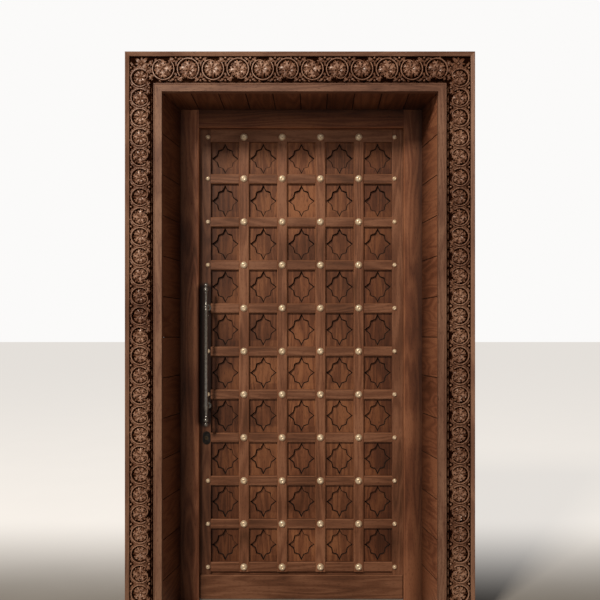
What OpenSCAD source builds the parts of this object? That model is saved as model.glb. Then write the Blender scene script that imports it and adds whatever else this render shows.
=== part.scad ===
// Carved temple door: one lattice leaf with star panels and brass studs, hung in a rebated frame at the
// back of a splayed, boarded reveal with a carved architrave round its front.
// Millimetres, +Z up. The viewer stands at -Y and the leaf opens away from the viewer.

/* [Opening] */
// Clear width between the posts
clear_w = 900; // [800:1:1050]
// Clear height from the floor to the underside of the head
clear_h = 2082; // [1950:1:2250]
// Depth from the front of the architrave to the front of the frame
reveal_depth = 250; // [180:1:400]
// How much farther out each lining lies behind the architrave than at the frame
reveal_splay = 31.3; // [5:0.1:60]

/* [Architrave] */
// Thickness of the architrave
architrave_t = 30; // [24:0.5:45]
// Width of the outer bead
outer_bead_w = 16; // [10:0.5:30]
// Width of the flat rim along the outer bead's outer edge
outer_rim_w = 3; // [2:0.5:6]
// Fall of the outer bead's face from the rim to the carving
outer_bead_fall = 6; // [2:0.5:9]
// Width of the carved band at the sides
band_side_w = 100; // [92:0.5:130]
// Height of the carved band over the opening
band_top_w = 112; // [104:0.5:140]
// Width of the inner bead
inner_bead_w = 33; // [20:0.5:50]
// Depth of the carved ground behind the front of the beads
ground_depth = 14; // [12:0.5:18]
// Width of the step along the inner bead's outer edge
bead_step = 4; // [2:0.5:6]

/* [Carving] */
// Radius of the big turn of each side scroll, to the middle of its stem
scroll_r = 34; // [28:0.5:36]
// Radius of the small turn that curls inwards in a side scroll
curl_r = 20.5; // [14:0.5:22]
// Radius of the big turn of each top scroll, to the middle of its stem
top_scroll_r = 41; // [36:0.5:44]
// Radius of the small turn that curls inwards in a top scroll
top_curl_r = 25; // [18:0.5:27]
// Width of the stem
stem_w = 7; // [5:0.5:9]
// Height of the stem over the ground
stem_h = 10; // [6:0.5:11.5]
// Number of scrolls in each side band
side_scrolls = 28; // [20:1:29]
// How far the side scrolls reach above the inner bead
column_rise = 52; // [40:0.5:56]
// Number of scrolls in the top band between the side bands, an even number
top_scrolls = 12; // [8:2:12]
// Length of a carved leaf
leaf_l = 24; // [16:0.5:28]
// Width of a carved leaf
leaf_w = 9; // [6:0.5:12]
// Radius of a rosette petal
petal_r = 4.6; // [3:0.1:5]
// Radius of the bead in each hollow beside the scrolls
bead_r = 4.5; // [3:0.1:6]

/* [Lining] */
// Thickness of the lining boards
lining_t = 16; // [10:0.5:25]
// Number of boards in the height of each side
side_boards = 13; // [8:1:18]
// Number of boards in the width of the soffit, an even number
soffit_boards = 10; // [6:2:14]
// Width of a soffit board, apart from the outermost two
soffit_board_w = 111.6; // [70:0.1:120]
// Bevel on the long edges of the boards
board_bevel = 2; // [0.5:0.1:4]
// Gap left between neighbouring boards
board_gap = 0.3; // [0.1:0.1:1]
// Width and depth of the battens behind the boards
batten_w = 40; // [30:1:60]

/* [Frame] */
// Face of each post that shows inside the lining
post_face = 79.4; // [60:0.1:110]
// Part of each post that lies behind the lining
post_hidden = 30; // [22:0.5:60]
// Face of the head that shows under the soffit
head_face = 78; // [60:0.5:110]
// Part of the head that lies above the soffit
head_hidden = 32; // [20:0.5:60]
// Depth of the door stop in front of the leaf
stop_t = 32; // [20:0.5:50]
// Width of the rebate that takes the leaf
rebate_w = 12; // [8:0.5:20]
// Gap between the stop and the closed leaf
stop_gap = 1; // [0.5:0.1:3]
// Chamfer round the front of the clear opening
frame_chamfer = 4; // [1:0.5:8]
// Length of the tenons of the head
head_tenon_l = 60; // [30:1:80]
// Diameter of the anchor holes through the posts
anchor_d = 10; // [6:0.5:14]
// Distance of the outer anchor holes from the ends of the posts
anchor_in = 120; // [80:1:140]

/* [Leaf] */
// Thickness of the leaf
leaf_t = 46; // [40:0.5:60]
// Gap between the leaf and the frame
leaf_gap = 3; // [2.5:0.1:5]
// Gap between the leaf and the floor
floor_gap = 6; // [4:0.5:12]
// Width of each stile
stile_w = 57.5; // [50:0.5:80]
// Height of the top rail
top_rail_h = 63; // [55:0.5:90]
// Height of the bottom rail
bottom_rail_h = 116; // [90:0.5:160]
// Height of the kick board
kick_h = 104.6; // [70:0.1:108]
// Thickness of the kick board
kick_t = 10; // [6:0.5:16]
// Thickness of the boards on the back of the leaf
back_board_t = 12; // [8:0.5:14]
// Number of boards on the back of the leaf
back_boards_n = 5; // [3:1:8]

/* [Lattice] */
// Number of cells across
columns = 5; // [4:1:6]
// Number of cells up
rows = 10; // [8:1:11]
// Width of the uprights
upright_w = 45; // [36:0.5:55]
// Height of the crossbars
crossbar_h = 42.5; // [34:0.5:55]
// Chamfer on the edges of the bars
bar_chamfer = 3.5; // [1:0.5:6]
// How much lower the cells of the top row are
top_cell_cut = 6.4; // [0:0.1:12]
// Length of the stub tenons of the bars
bar_tenon_l = 6; // [4:0.5:6]
// Thickness of the stub tenons of the bars
bar_tenon_t = 12; // [8:0.5:16]
// Clearance in the joints of the leaf and the frame
joint_clear = 0.2; // [0.1:0.05:0.5]

/* [Star panels] */
// How far the panels lie behind the faces of the bars
panel_setback = 14; // [8:0.5:16]
// Clearance of each panel in its cell
panel_clear = 0.4; // [0.2:0.1:1]
// Depth of the star's recess
star_depth = 11; // [6:0.5:12]
// Distance of the four long tips from the edges of the panel
star_edge = 2.5; // [1:0.5:8]
// Distance of the shoulders from the sides of the panel
shoulder_in_x = 30.5; // [24:0.5:36]
// Distance of the shoulders from the top and bottom of the panel
shoulder_in_z = 33; // [28:0.5:40]
// Half width of the upper and lower tips at their roots
tip_half_x = 12; // [8:0.5:20]
// Length of the upper and lower tips
tip_l_z = 24; // [16:0.5:28]
// Half height of the side tips at their roots
tip_half_z = 18; // [8:0.5:22]
// Length of the side tips
tip_l_x = 22.5; // [16:0.5:26]

/* [Studs] */
// Diameter of the studs at the crossings
stud_d = 31; // [20:0.5:33]
// Height of the studs
stud_h = 10; // [5:0.5:12]
// Diameter of the studs on the stiles
edge_stud_d = 20; // [12:0.5:24]
// Height of the studs on the stiles
edge_stud_h = 8; // [4:0.5:9.5]
// Distance of the edge studs from the inner edge of the stile
edge_stud_in = 12; // [11:0.5:20]
// Diameter of the shanks
stud_shank_d = 6; // [4:0.5:8]
// Length of the shanks
stud_shank_l = 24; // [18:0.5:28]

/* [Hinges] */
// Height of each hinge
hinge_l = 100; // [80:1:140]
// Distance of the outer hinges from the ends of the leaf
hinge_inset = 250; // [150:5:400]
// Thickness of the hinge leaves
flap_t = 2.5; // [2:0.1:4]
// Width of the hinge leaves in the wood
flap_w = 30; // [24:0.5:36]
// Radius of the knuckles
knuckle_r = 6; // [5.5:0.1:8]
// Radius of the hinge pins
pin_r = 3.5; // [3:0.1:4]
// Running clearance round the hinge pins
pin_clear = 0.05; // [0.03:0.01:0.1]
// Gap between neighbouring knuckles
knuckle_gap = 0.4; // [0.3:0.1:1]
// Radius of a screw's shank
screw_r = 2; // [1.5:0.1:2.5]
// Length of a screw
screw_l = 28; // [18:1:34]

/* [Lock] */
// Height of the lock cylinder
cylinder_z = 716; // [600:1:730]
// Distance of the lock cylinder from the edge of the leaf
backset = 39; // [36:0.5:39]
// Radius of the lock cylinder
cylinder_r = 8.5; // [7:0.1:8.7]
// Radius of the key plug
plug_r = 5.5; // [4:0.1:6]
// Running clearance round the key plug
plug_clear = 0.05; // [0.03:0.01:0.1]
// Thickness of the lock case
case_t = 16; // [14:0.5:20]
// Height of the lock case
case_h = 110; // [95:1:130]
// Height of the bolt over the lock cylinder
bolt_rise = 40; // [30:0.5:45]
// Height of the bolt
bolt_h = 20; // [14:0.5:24]
// Thickness of the bolt
bolt_t = 10; // [8:0.5:11]
// Travel of the bolt
bolt_throw = 20; // [12:0.5:22]
// Clearance round the bolt
bolt_clear = 0.4; // [0.3:0.05:0.6]
// Width of the escutcheons
escutcheon_w = 34; // [26:0.5:35]
// Height of the escutcheons
escutcheon_h = 58; // [50:0.5:70]

/* [Handle] */
// Distance of the handle from the free edge of the leaf
handle_in = 46; // [38:0.5:49]
// Height of the lower end of the handle
handle_z = 772; // [760:1:800]
// Length of the handle
handle_l = 626; // [560:1:700]
// Diameter of the bar
handle_d = 14.5; // [10:0.5:18]
// Diameter of the thin necks beyond the posts
neck_d = 9.6; // [7:0.2:10]
// Half the length of the vase turned round the lower post
vase_l = 30; // [20:0.5:36]
// Distance of the bar's axis from the face of the leaf
handle_reach = 60; // [45:0.5:80]
// Height of the lower post above the end of the handle
lower_post_in = 88; // [70:1:110]
// Distance of the upper post below the end of the handle
upper_post_in = 105; // [90:1:120]
// Radius of the turned collar at each post
collar_r = 11; // [9:0.5:13]
// Radius of the large ball of each finial
ball_r = 10; // [8.5:0.5:12]
// Radius of the small ball of each finial
tip_ball_r = 8; // [5:0.5:9]

/* [Hidden] */
$fn = 48;
eps = 0.01;
// How deep the carved forms root in the ground
root = 1;
// Half the angle that the big turn of a scroll goes round, and the angle of its curl
scroll_turn = 130;
curl_turn = 150;
// Size of the curl's stem as a share of the big turn's
curl_share = 0.85;
// Height of the stem's shoulders and half width of its top, as shares of the stem
stem_shoulder = 0.55;
stem_top = 0.2;
// Petals of a rosette: their size and their distance from its middle as shares of the middle's radius
petals = 5;
petal_share = 0.9;
petal_reach = 2.15;
// Leaf at the outer end of a scroll: its angle to the scroll and its size as a share of a full leaf
end_angle = 60;
end_share = 0.7;
// Leaf pair in a hollow: half the angle between the leaves and their size as a share of a full leaf
pair_angle = 28;
pair_share = 0.65;
// Fan of leaves in a corner: their angles, their size as a share of a full leaf, and the room above them
fan_angles = [-20, 35, 90, 145, 200];
fan_share = 1.3;
fan_room = 5;

// Half widths and depths that the pieces share, measured from the centre line and the architrave's front
clear_half = clear_w / 2;
frame_half = clear_half + post_face;
front_half = frame_half + reveal_splay;
frame_y = reveal_depth;
stop_y = frame_y + stop_t;
leaf_y = stop_y + stop_gap;
leaf_back_y = leaf_y + leaf_t;
soffit_z = clear_h + head_face;
splay_angle = atan(reveal_splay / (reveal_depth - architrave_t));

// Architrave lines
band_in = front_half + inner_bead_w;
band_out = band_in + band_side_w;
outer_half = band_out + outer_bead_w;
band_low_z = soffit_z + inner_bead_w;
band_high_z = band_low_z + band_top_w;
column_h = band_low_z + column_rise;
side_pitch = column_h / side_scrolls;
top_pitch = 2 * band_in / top_scrolls;
pair_start = leaf_l / 6;
bead_out = 0.75 * leaf_l;
fan_z = band_high_z - fan_room - pair_start - fan_share * leaf_l;

// Tenons of the head: inset from the rebate, thickness, inset from the leaf's face and from the top
head_tenon_in = 14;
head_tenon_t = 26;
head_tenon_y = 2;
head_tenon_top = 20;
// Tenons of the rails: inset from the rail's edges, length, thickness and inset behind the leaf's middle
rail_tenon_in = 14;
rail_tenon_l = 32;
rail_tenon_t = 12;
rail_tenon_y = 2;
// Height of the bars' stub tenons as a share of the bar
stub_share = 0.7;

// Leaf lines
rebate_half = clear_half + rebate_w;
rebate_z = clear_h + rebate_w;
leaf_half = rebate_half - leaf_gap;
leaf_top_z = rebate_z - leaf_gap;
field_half = leaf_half - stile_w;
rail_low_z = leaf_top_z - top_rail_h;
rail_high_z = floor_gap + bottom_rail_h;
bar_t = leaf_t - back_board_t;
bar_back_y = leaf_y + bar_t;
lap_y = leaf_y + bar_t / 2;
panel_y = leaf_y + panel_setback;

// Lattice pattern
cell_w = (2 * field_half - (columns - 1) * upright_w) / columns;
col_pitch = cell_w + upright_w;
row_0_z = rail_high_z + crossbar_h / 2;
row_pitch = (rail_low_z + crossbar_h / 2 + top_cell_cut - row_0_z) / rows;
top_row_z = rail_low_z + crossbar_h / 2;
col_x = [for (i = [1:columns - 1]) (i - columns / 2) * col_pitch];
row_z = [for (j = [0:rows - 1]) row_0_z + j * row_pitch];
stud_z = concat(row_z, [top_row_z]);
edge_stud_x = field_half + edge_stud_in;

// Hinge lines
knuckle_stand = 0.5;
hinge_x = (leaf_half + rebate_half) / 2;
hinge_y = leaf_back_y + knuckle_stand + knuckle_r;
knuckles = 5;
knuckle_l = hinge_l / knuckles;
hinge_z = [
    floor_gap + hinge_inset,
    (floor_gap + leaf_top_z) / 2,
    leaf_top_z - hinge_inset
];
pin_head_h = 3;
screw_head_r = 2 * screw_r;
screw_spread = 0.35 * hinge_l;
screw_y = leaf_back_y - 0.6 * flap_w;
screw_z = [for (z = hinge_z, s = [-1, 0, 1]) z + s * screw_spread];

// Lock lines, on the left side and mirrored into place
lock_y = leaf_y + leaf_t / 2;
forend_t = 3;
forend_w = 22;
forend_h = case_h + 40;
case_z = cylinder_z + bolt_rise / 2;
case_depth = backset + cylinder_r + 2.5;
bolt_z = cylinder_z + bolt_rise;
bolt_l = backset + 5;
cylinder_x = leaf_half - backset;
plug_l = 30;
plug_proud = 0.8;
key_slot_w = 1.6;
key_slot_h = 7;
key_slot_l = 18;
escutcheon_t = 2;
strike_t = flap_t;
strike_clear = 1.5;
pocket_clear = 2;
pocket_l = bolt_throw - leaf_gap + 6;
lock_screw_z = [case_z - forend_h / 2 + 10, case_z + forend_h / 2 - 10];

// Handle lines, on the left side and mirrored into place
handle_x = leaf_half - handle_in;
handle_y = leaf_y - handle_reach;
post_z = [handle_z + lower_post_in, handle_z + handle_l - upper_post_in];
post_boss = 13;
post_r = 6;
spigot_r = 4;
spigot_l = 10;
rose_r = 15;
rose_t = 4;
nut_t = 7;
nut_r = 8;
tail_over = 1;
clear_r = 0.1;

// Anchor holes near the ends of the posts and a third of the way between the hinges
anchor_z = [
    anchor_in,
    (2 * hinge_z[0] + hinge_z[1]) / 3,
    (2 * hinge_z[1] + hinge_z[2]) / 3,
    rebate_z - anchor_in
];
total_depth = hinge_y + knuckle_r;

teak = "#6b4630";
teak_light = "#7d5a45";
teak_dark = "#4a2c1c";
carved = "#5e4232";
brass = "#d9bd92";
iron = "#2b2a2a";

// Centres the depth of the whole door on the origin
module placed() {
    translate([0, -total_depth / 2, 0]) children();
}

module left_side() {
    mirror([1, 0, 0]) children();
}

// Box between two corners
module block(a, b) {
    translate(a) cube(b - a);
}

// Extrudes an outline drawn in x and z along +Y from y0 to y1
module along_y(y0, y1) {
    translate([0, y1, 0]) rotate([90, 0, 0]) linear_extrude(y1 - y0) children();
}

// Extrudes an outline drawn in y and z along +X from x0 to x1
module along_x(x0, x1) {
    translate([x0, 0, 0]) rotate([90, 0, 90]) linear_extrude(x1 - x0) children();
}

// Front view of one arm of a mitred surround, between half widths and heights
function side_arm(x0, x1, z1, z2) = [[x0, 0], [x1, 0], [x1, z2], [x0, z1]];
function top_arm(x0, x1, z1, z2) = [[-x0, z1], [x0, z1], [x1, z2], [-x1, z2]];

// Section of the inner bead: its width runs in u, its depth in v, and one front edge has a small step
function bead_section(w, t) = [
    [0, 0], [w - 2 * bead_step, 0], [w - 1.5 * bead_step, bead_step / 2],
    [w - bead_step, bead_step / 2], [w - bead_step, 0], [w, 0], [w, t], [0, t]
];

// Section of the outer bead, whose face falls from a narrow rim towards the carving
function outer_section(w, t) = [[0, outer_bead_fall], [w - outer_rim_w, 0], [w, 0], [w, t], [0, t]];

module side_bead(x0, w, z1, section) {
    intersection() {
        translate([x0, 0, 0]) linear_extrude(z1 + w) polygon(section);
        along_y(0, architrave_t) polygon(side_arm(x0, x0 + w, z1, z1 + w));
    }
}

module top_bead(x0, w, z1, section) {
    intersection() {
        translate([0, 0, z1]) along_x(-x0 - w, x0 + w) polygon([for (p = section) [p[1], p[0]]]);
        along_y(0, architrave_t) polygon(top_arm(x0, x0 + w, z1, z1 + w));
    }
}

// Carved stem: part of a turn about the local z, bevelled on top and rooted below z = 0
module stem_arc(r, from, to, size) {
    rotate([0, 0, from]) rotate_extrude(angle = to - from) translate([r, 0]) scale(size) polygon([
        [-stem_w / 2, -root], [stem_w / 2, -root], [stem_w / 2, stem_shoulder * stem_h],
        [stem_top * stem_w, stem_h], [-stem_top * stem_w, stem_h], [-stem_w / 2, stem_shoulder * stem_h]
    ]);
}

// Pointed leaf from the origin along +x, its size a share of a full leaf
module carved_leaf(share, h) {
    l = share * leaf_l;
    w = share * leaf_w;
    r = (l * l + w * w) / (4 * w);
    translate([l / 2, 0, -root]) linear_extrude(root + h) intersection() {
        translate([0, r - w / 2]) circle(r);
        translate([0, w / 2 - r]) circle(r);
    }
}

// Petal or bead: a boss that narrows to its top, rooted below z = 0
module boss(r) {
    translate([0, 0, -root]) cylinder(r1 = r, r2 = r / 2, h = root + r);
}

// One scroll of two radii with its rosette: it opens towards -x and its curl turns inwards
module scroll(r, curl) {
    stem_arc(r, -scroll_turn, scroll_turn, 1);
    rotate([0, 0, -scroll_turn]) translate([r - curl, 0, 0]) {
        stem_arc(curl, -curl_turn, 0, curl_share);
        boss(petal_r);
        for (k = [0:petals - 1]) rotate([0, 0, 180 + k * 360 / petals])
            translate([petal_reach * petal_r, 0, 0]) boss(petal_share * petal_r);
    }
    rotate([0, 0, scroll_turn]) translate([r, 0, 0]) rotate([0, 0, end_angle])
        carved_leaf(end_share, end_share * stem_h);
}

// Leaf pair and bead in the hollow between two scrolls, at the side towards +x
module spandrel() {
    for (s = [-1, 1]) rotate([0, 0, pair_angle * s]) translate([pair_start, 0, 0])
        carved_leaf(pair_share, pair_share * stem_h);
    translate([bead_out, 0, 0]) boss(bead_r);
}

// Fan of leaves that fills a corner above the last scroll
module corner_leaf() {
    for (a = fan_angles) rotate([0, 0, a]) translate([pair_start, 0, 0])
        carved_leaf(fan_share, stem_h);
    boss(bead_r);
}

// Places count scrolls along +y. Every other one is mirrored, or turned half round where the vine is a wave.
module scroll_row(count, pitch, wave) {
    for (k = [0:count - 1]) translate([0, (k + 0.5) * pitch, 0])
        rotate([0, 0, wave ? 180 * (k % 2) : 0]) mirror([0, wave ? 0 : k % 2, 0]) children();
}

// Leaves and beads in the hollows between count scrolls along +y, on both sides of a band
module hollow_row(count, pitch, band_w) {
    for (k = [1:count - 1], s = [0, 1]) translate([0, k * pitch, 0]) mirror([s, 0, 0])
        translate([band_w / 2 - leaf_l - bead_r, 0, 0]) spandrel();
}

// Turns carving drawn in x and y with its height in z so that the height faces the viewer
module facing() {
    translate([0, ground_depth, 0]) rotate([90, 0, 0]) children();
}

module carved_side() {
    color(carved) placed() {
        union() {
            block([band_in, ground_depth, 0], [band_out, architrave_t, band_high_z]);
            facing() translate([(band_in + band_out) / 2, 0, 0]) {
                scroll_row(side_scrolls, side_pitch, false) scroll(scroll_r, curl_r);
                hollow_row(side_scrolls, side_pitch, band_side_w);
                translate([0, fan_z, 0]) corner_leaf();
            }
        }
    }
}

module outer_side() {
    color(teak_light) placed()
        side_bead(band_out, outer_bead_w, band_high_z, outer_section(outer_bead_w, architrave_t));
}

module outer_bead_left() { left_side() outer_side(); }
module outer_bead_right() { outer_side(); }

module outer_bead_top() {
    color(teak_light) placed()
        top_bead(band_out, outer_bead_w, band_high_z, outer_section(outer_bead_w, architrave_t));
}

module carved_band_left() { left_side() carved_side(); }
module carved_band_right() { carved_side(); }

module carved_band_top() {
    mid_z = (band_low_z + band_high_z) / 2;
    color(carved) placed() {
        union() {
            block([-band_in, ground_depth, band_low_z], [band_in, architrave_t, band_high_z]);
            facing() translate([band_in, mid_z, 0]) rotate([0, 0, 90]) {
                scroll_row(top_scrolls, top_pitch, true) scroll(top_scroll_r, top_curl_r);
                hollow_row(top_scrolls, top_pitch, band_top_w);
            }
        }
    }
}

module inner_side() {
    color(teak_light) placed()
        side_bead(front_half, inner_bead_w, soffit_z, bead_section(inner_bead_w, architrave_t));
}

module inner_bead_left() { left_side() inner_side(); }
module inner_bead_right() { inner_side(); }

module inner_bead_top() {
    color(teak_light) placed()
        top_bead(front_half, inner_bead_w, soffit_z, bead_section(inner_bead_w, architrave_t));
}

// Section of a board with its two bevelled face edges on the side u = 0
function board_section(t, w) = [
    [0, board_bevel], [board_bevel, 0], [t, 0], [t, w], [board_bevel, w], [0, w - board_bevel]
];

module lining_side() {
    board_h = soffit_z / side_boards;
    reach = reveal_depth;
    color(teak) placed() intersection() {
        block([0, architrave_t, 0], [outer_half, reveal_depth, soffit_z]);
        translate([front_half, architrave_t, 0]) rotate([0, 0, splay_angle])
            for (k = [0:side_boards - 1]) translate([0, 0, k * board_h])
                along_y(-reach / 4, reach) polygon(board_section(lining_t, board_h - board_gap));
    }
}

// Outer face of the side lining at a given depth
function lining_back_x(y) = front_half + lining_t / cos(splay_angle) - (y - architrave_t) * tan(splay_angle);

module lining_left() { mirror([1, 0, 0]) lining_side(); }
module lining_right() { lining_side(); }

module lining_soffit() {
    edge = lining_back_x(architrave_t) + 1;
    joints = [for (k = [1:soffit_boards - 1]) (k - soffit_boards / 2) * soffit_board_w];
    edges = concat([-edge], joints, [edge]);
    color(teak_dark) placed() intersection() {
        translate([0, 0, soffit_z]) linear_extrude(lining_t) polygon([
            [-lining_back_x(architrave_t), architrave_t], [lining_back_x(architrave_t), architrave_t],
            [lining_back_x(reveal_depth), reveal_depth], [-lining_back_x(reveal_depth), reveal_depth]
        ]);
        for (k = [0:soffit_boards - 1]) translate([edges[k], 0, soffit_z])
            along_y(architrave_t - 1, reveal_depth + 1) polygon([
                for (p = board_section(lining_t, edges[k + 1] - edges[k] - board_gap)) [p[1], p[0]]
            ]);
    }
}

// Upright battens behind one side lining, their inner faces on the slope of the boards
module battens_side() {
    color(teak_dark) placed() for (y = [architrave_t, reveal_depth - batten_w]) {
        x1 = lining_back_x(y) + batten_w;
        linear_extrude(soffit_z + lining_t) polygon([
            [lining_back_x(y), y], [x1, y], [x1, y + batten_w], [lining_back_x(y + batten_w), y + batten_w]
        ]);
    }
}

module battens_left() { mirror([1, 0, 0]) battens_side(); }
module battens_right() { battens_side(); }

module battens_top() {
    z0 = soffit_z + lining_t;
    color(teak_dark) placed() for (y = [architrave_t, reveal_depth - batten_w]) {
        x1 = lining_back_x(y) + batten_w;
        block([-x1, y, z0], [x1, y + batten_w, z0 + batten_w]);
    }
}

// Tenon of the head, grown by the clearance for its mortise
module head_tenon(grow) {
    tenon_y = leaf_y + head_tenon_y;
    top_z = soffit_z + head_hidden - head_tenon_top;
    block(
        [rebate_half - 1, tenon_y - grow, rebate_z + head_tenon_in - grow],
        [rebate_half + head_tenon_l + grow, tenon_y + head_tenon_t + grow, top_z + grow]
    );
}

// Post with its rebate, on the right side
module post_blank() {
    difference() {
        linear_extrude(soffit_z + head_hidden) polygon([
            [clear_half, frame_y], [frame_half + post_hidden, frame_y],
            [frame_half + post_hidden, leaf_back_y], [rebate_half, leaf_back_y],
            [rebate_half, stop_y], [clear_half, stop_y]
        ]);
        translate([0, 0, -1]) linear_extrude(clear_h + 1) polygon([
            [clear_half - 1, frame_y - 1], [clear_half + frame_chamfer, frame_y - 1],
            [clear_half + frame_chamfer, frame_y], [clear_half, frame_y + frame_chamfer],
            [clear_half - 1, frame_y + frame_chamfer]
        ]);
        head_tenon(joint_clear);
        for (z = anchor_z) translate([rebate_half - 1, lock_y, z]) rotate([0, 90, 0])
            cylinder(d = anchor_d, h = post_face + post_hidden + 2);
    }
}

module post_left() {
    color(teak) placed() left_side() difference() {
        post_blank();
        strike_body(joint_clear);
        bolt_body(rebate_half, rebate_half + pocket_l, pocket_clear);
        for (z = lock_screw_z) translate([rebate_half, lock_y, z]) screw_hole();
    }
}

module post_right() {
    color(teak) placed() difference() {
        post_blank();
        for (z = hinge_z) flap_bed(rebate_half, z);
        for (z = screw_z) translate([rebate_half, screw_y, z]) screw_hole();
    }
}

module head() {
    color(teak_dark) placed() difference() {
        union() {
            block([-clear_half, frame_y, clear_h], [clear_half, stop_y, soffit_z + head_hidden]);
            block([-rebate_half, stop_y, rebate_z], [rebate_half, leaf_back_y, soffit_z + head_hidden]);
            head_tenon(0);
            left_side() head_tenon(0);
        }
        along_x(-clear_half - 1, clear_half + 1) polygon([
            [frame_y - 1, clear_h - 1], [frame_y + frame_chamfer, clear_h - 1],
            [frame_y + frame_chamfer, clear_h], [frame_y, clear_h + frame_chamfer],
            [frame_y - 1, clear_h + frame_chamfer]
        ]);
    }
}

// Countersunk screw along +x with its head flush at x = 0
module screw() {
    rotate([0, 90, 0]) {
        cylinder(r1 = screw_head_r, r2 = screw_r, h = screw_r);
        translate([0, 0, screw_r - eps]) cylinder(r = screw_r, h = screw_l - screw_r + eps);
    }
}

module screw_hole() {
    translate([-1, 0, 0]) rotate([0, 90, 0]) cylinder(r = screw_r + clear_r, h = screw_l + 2);
}

module screw_seat() {
    screw_hole();
    translate([-clear_r, 0, 0]) rotate([0, 90, 0])
        cylinder(r1 = screw_head_r + 2 * clear_r, r2 = screw_r + clear_r, h = screw_r + clear_r);
}

// Bed cut for a hinge leaf whose face lies at x and goes into the wood towards +x
module flap_bed(x, z) {
    block(
        [x - 1, leaf_back_y - flap_w - joint_clear, z - hinge_l / 2 - joint_clear],
        [x + flap_t, leaf_back_y + 1, z + hinge_l / 2 + joint_clear]
    );
}

// One hinge leaf in the wood at x, with the knuckles that it carries
module hinge_leaf(x, z, own) {
    difference() {
        union() {
            block([x, leaf_back_y - flap_w, z - hinge_l / 2], [x + flap_t, leaf_back_y, z + hinge_l / 2]);
            for (k = own) translate([0, 0, z - hinge_l / 2 + k * knuckle_l + knuckle_gap / 2]) {
                block([x, leaf_back_y - 1, 0], [x + flap_t, hinge_y, knuckle_l - knuckle_gap]);
                translate([hinge_x, hinge_y, 0]) cylinder(r = knuckle_r, h = knuckle_l - knuckle_gap);
            }
        }
        translate([hinge_x, hinge_y, z - hinge_l / 2 - 1]) cylinder(r = pin_r + pin_clear, h = hinge_l + 2);
    }
}

module hinge_leaves_fixed() {
    color(iron) placed() difference() {
        for (z = hinge_z) hinge_leaf(rebate_half, z, [0:2:knuckles - 1]);
        for (z = screw_z) translate([rebate_half, screw_y, z]) screw_seat();
    }
}

module hinge_leaves_moving() {
    color(iron) placed() difference() {
        for (z = hinge_z) hinge_leaf(leaf_half - flap_t, z, [1:2:knuckles - 2]);
        for (z = screw_z) translate([leaf_half, screw_y, z]) left_side() screw_seat();
    }
}

module hinge_pins() {
    color(iron) placed() for (z = hinge_z) translate([hinge_x, hinge_y, z - hinge_l / 2]) {
        cylinder(r = pin_r, h = hinge_l);
        translate([0, 0, hinge_l - knuckle_gap / 2]) cylinder(r = knuckle_r - 1, h = pin_head_h);
    }
}

module frame_screws() {
    color(iron) placed() {
        for (z = screw_z) translate([rebate_half, screw_y, z]) screw();
        left_side() for (z = lock_screw_z) translate([rebate_half, lock_y, z]) screw();
    }
}

module leaf_screws() {
    color(iron) placed() {
        for (z = screw_z) translate([leaf_half, screw_y, z]) left_side() screw();
        left_side() for (z = lock_screw_z) translate([leaf_half, lock_y, z]) left_side() screw();
    }
}

// Strike plate in the left post, drawn on the right side
module strike_body(grow) {
    block(
        [rebate_half - grow, lock_y - forend_w / 2 - grow, case_z - forend_h / 2 - grow],
        [rebate_half + strike_t, lock_y + forend_w / 2 + grow, case_z + forend_h / 2 + grow]
    );
}

module strike_plate() {
    color(iron) placed() left_side() difference() {
        strike_body(0);
        bolt_body(rebate_half - 1, rebate_half + strike_t + 1, strike_clear);
        for (z = lock_screw_z) translate([rebate_half, lock_y, z]) screw_seat();
    }
}

// Stile with the mortises of the crossbars and the holes of the edge studs, on the right side
module stile_blank() {
    difference() {
        block([field_half, leaf_y, floor_gap], [leaf_half, leaf_back_y, leaf_top_z]);
        for (z = row_z) bar_tenon(field_half, z, joint_clear);
        rail_tenon(rail_low_z, leaf_top_z, joint_clear);
        rail_tenon(floor_gap, rail_high_z, joint_clear);
    }
}

// Stub tenon of a crossbar that enters the stile at x, grown by the clearance for its mortise
module bar_tenon(x, z, grow) {
    half = stub_share * crossbar_h / 2;
    block(
        [x - 1, lap_y - grow, z - half - grow],
        [x + bar_tenon_l + grow, lap_y + bar_tenon_t + grow, z + half + grow]
    );
}

// Tenon of a rail between two heights, in the stile on the right side
module rail_tenon(z0, z1, grow) {
    y0 = lock_y + rail_tenon_y;
    block(
        [field_half - 1, y0 - grow, z0 + rail_tenon_in - grow],
        [field_half + rail_tenon_l + grow, y0 + rail_tenon_t + grow, z1 - rail_tenon_in + grow]
    );
}

module stud_hole(x, z) {
    translate([x, leaf_y - 1, z]) rotate([-90, 0, 0])
        cylinder(d = stud_shank_d + 2 * clear_r, h = stud_shank_l + 2);
}

// Heights of the edge studs on the left, where the lock plate and the upper handle post take two places
function left_stud_free(z) = abs(z - cylinder_z) > escutcheon_h / 2 + edge_stud_d / 2
    && min([for (p = post_z) abs(z - p)]) > rose_r + edge_stud_d / 2;
left_stud_z = [for (z = stud_z) if (left_stud_free(z)) z];

module lock_stile() {
    color(teak) placed() left_side() difference() {
        stile_blank();
        for (z = left_stud_z) stud_hole(edge_stud_x, z);
        lock_case_body(joint_clear);
        forend_body(joint_clear);
        cylinder_body(leaf_y - 1, leaf_back_y + 1, clear_r);
        for (z = lock_screw_z) translate([leaf_half, lock_y, z]) left_side() screw_hole();
        for (z = post_z) translate([handle_x, leaf_y - 1, z]) rotate([-90, 0, 0])
            cylinder(r = spigot_r + clear_r, h = leaf_t + 2);
    }
}

module hinge_stile() {
    color(teak) placed() difference() {
        stile_blank();
        for (z = stud_z) stud_hole(edge_stud_x, z);
        translate([2 * leaf_half, 0, 0]) left_side() for (z = hinge_z) flap_bed(leaf_half, z);
        for (z = screw_z) translate([leaf_half, screw_y, z]) left_side() screw_hole();
    }
}

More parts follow.
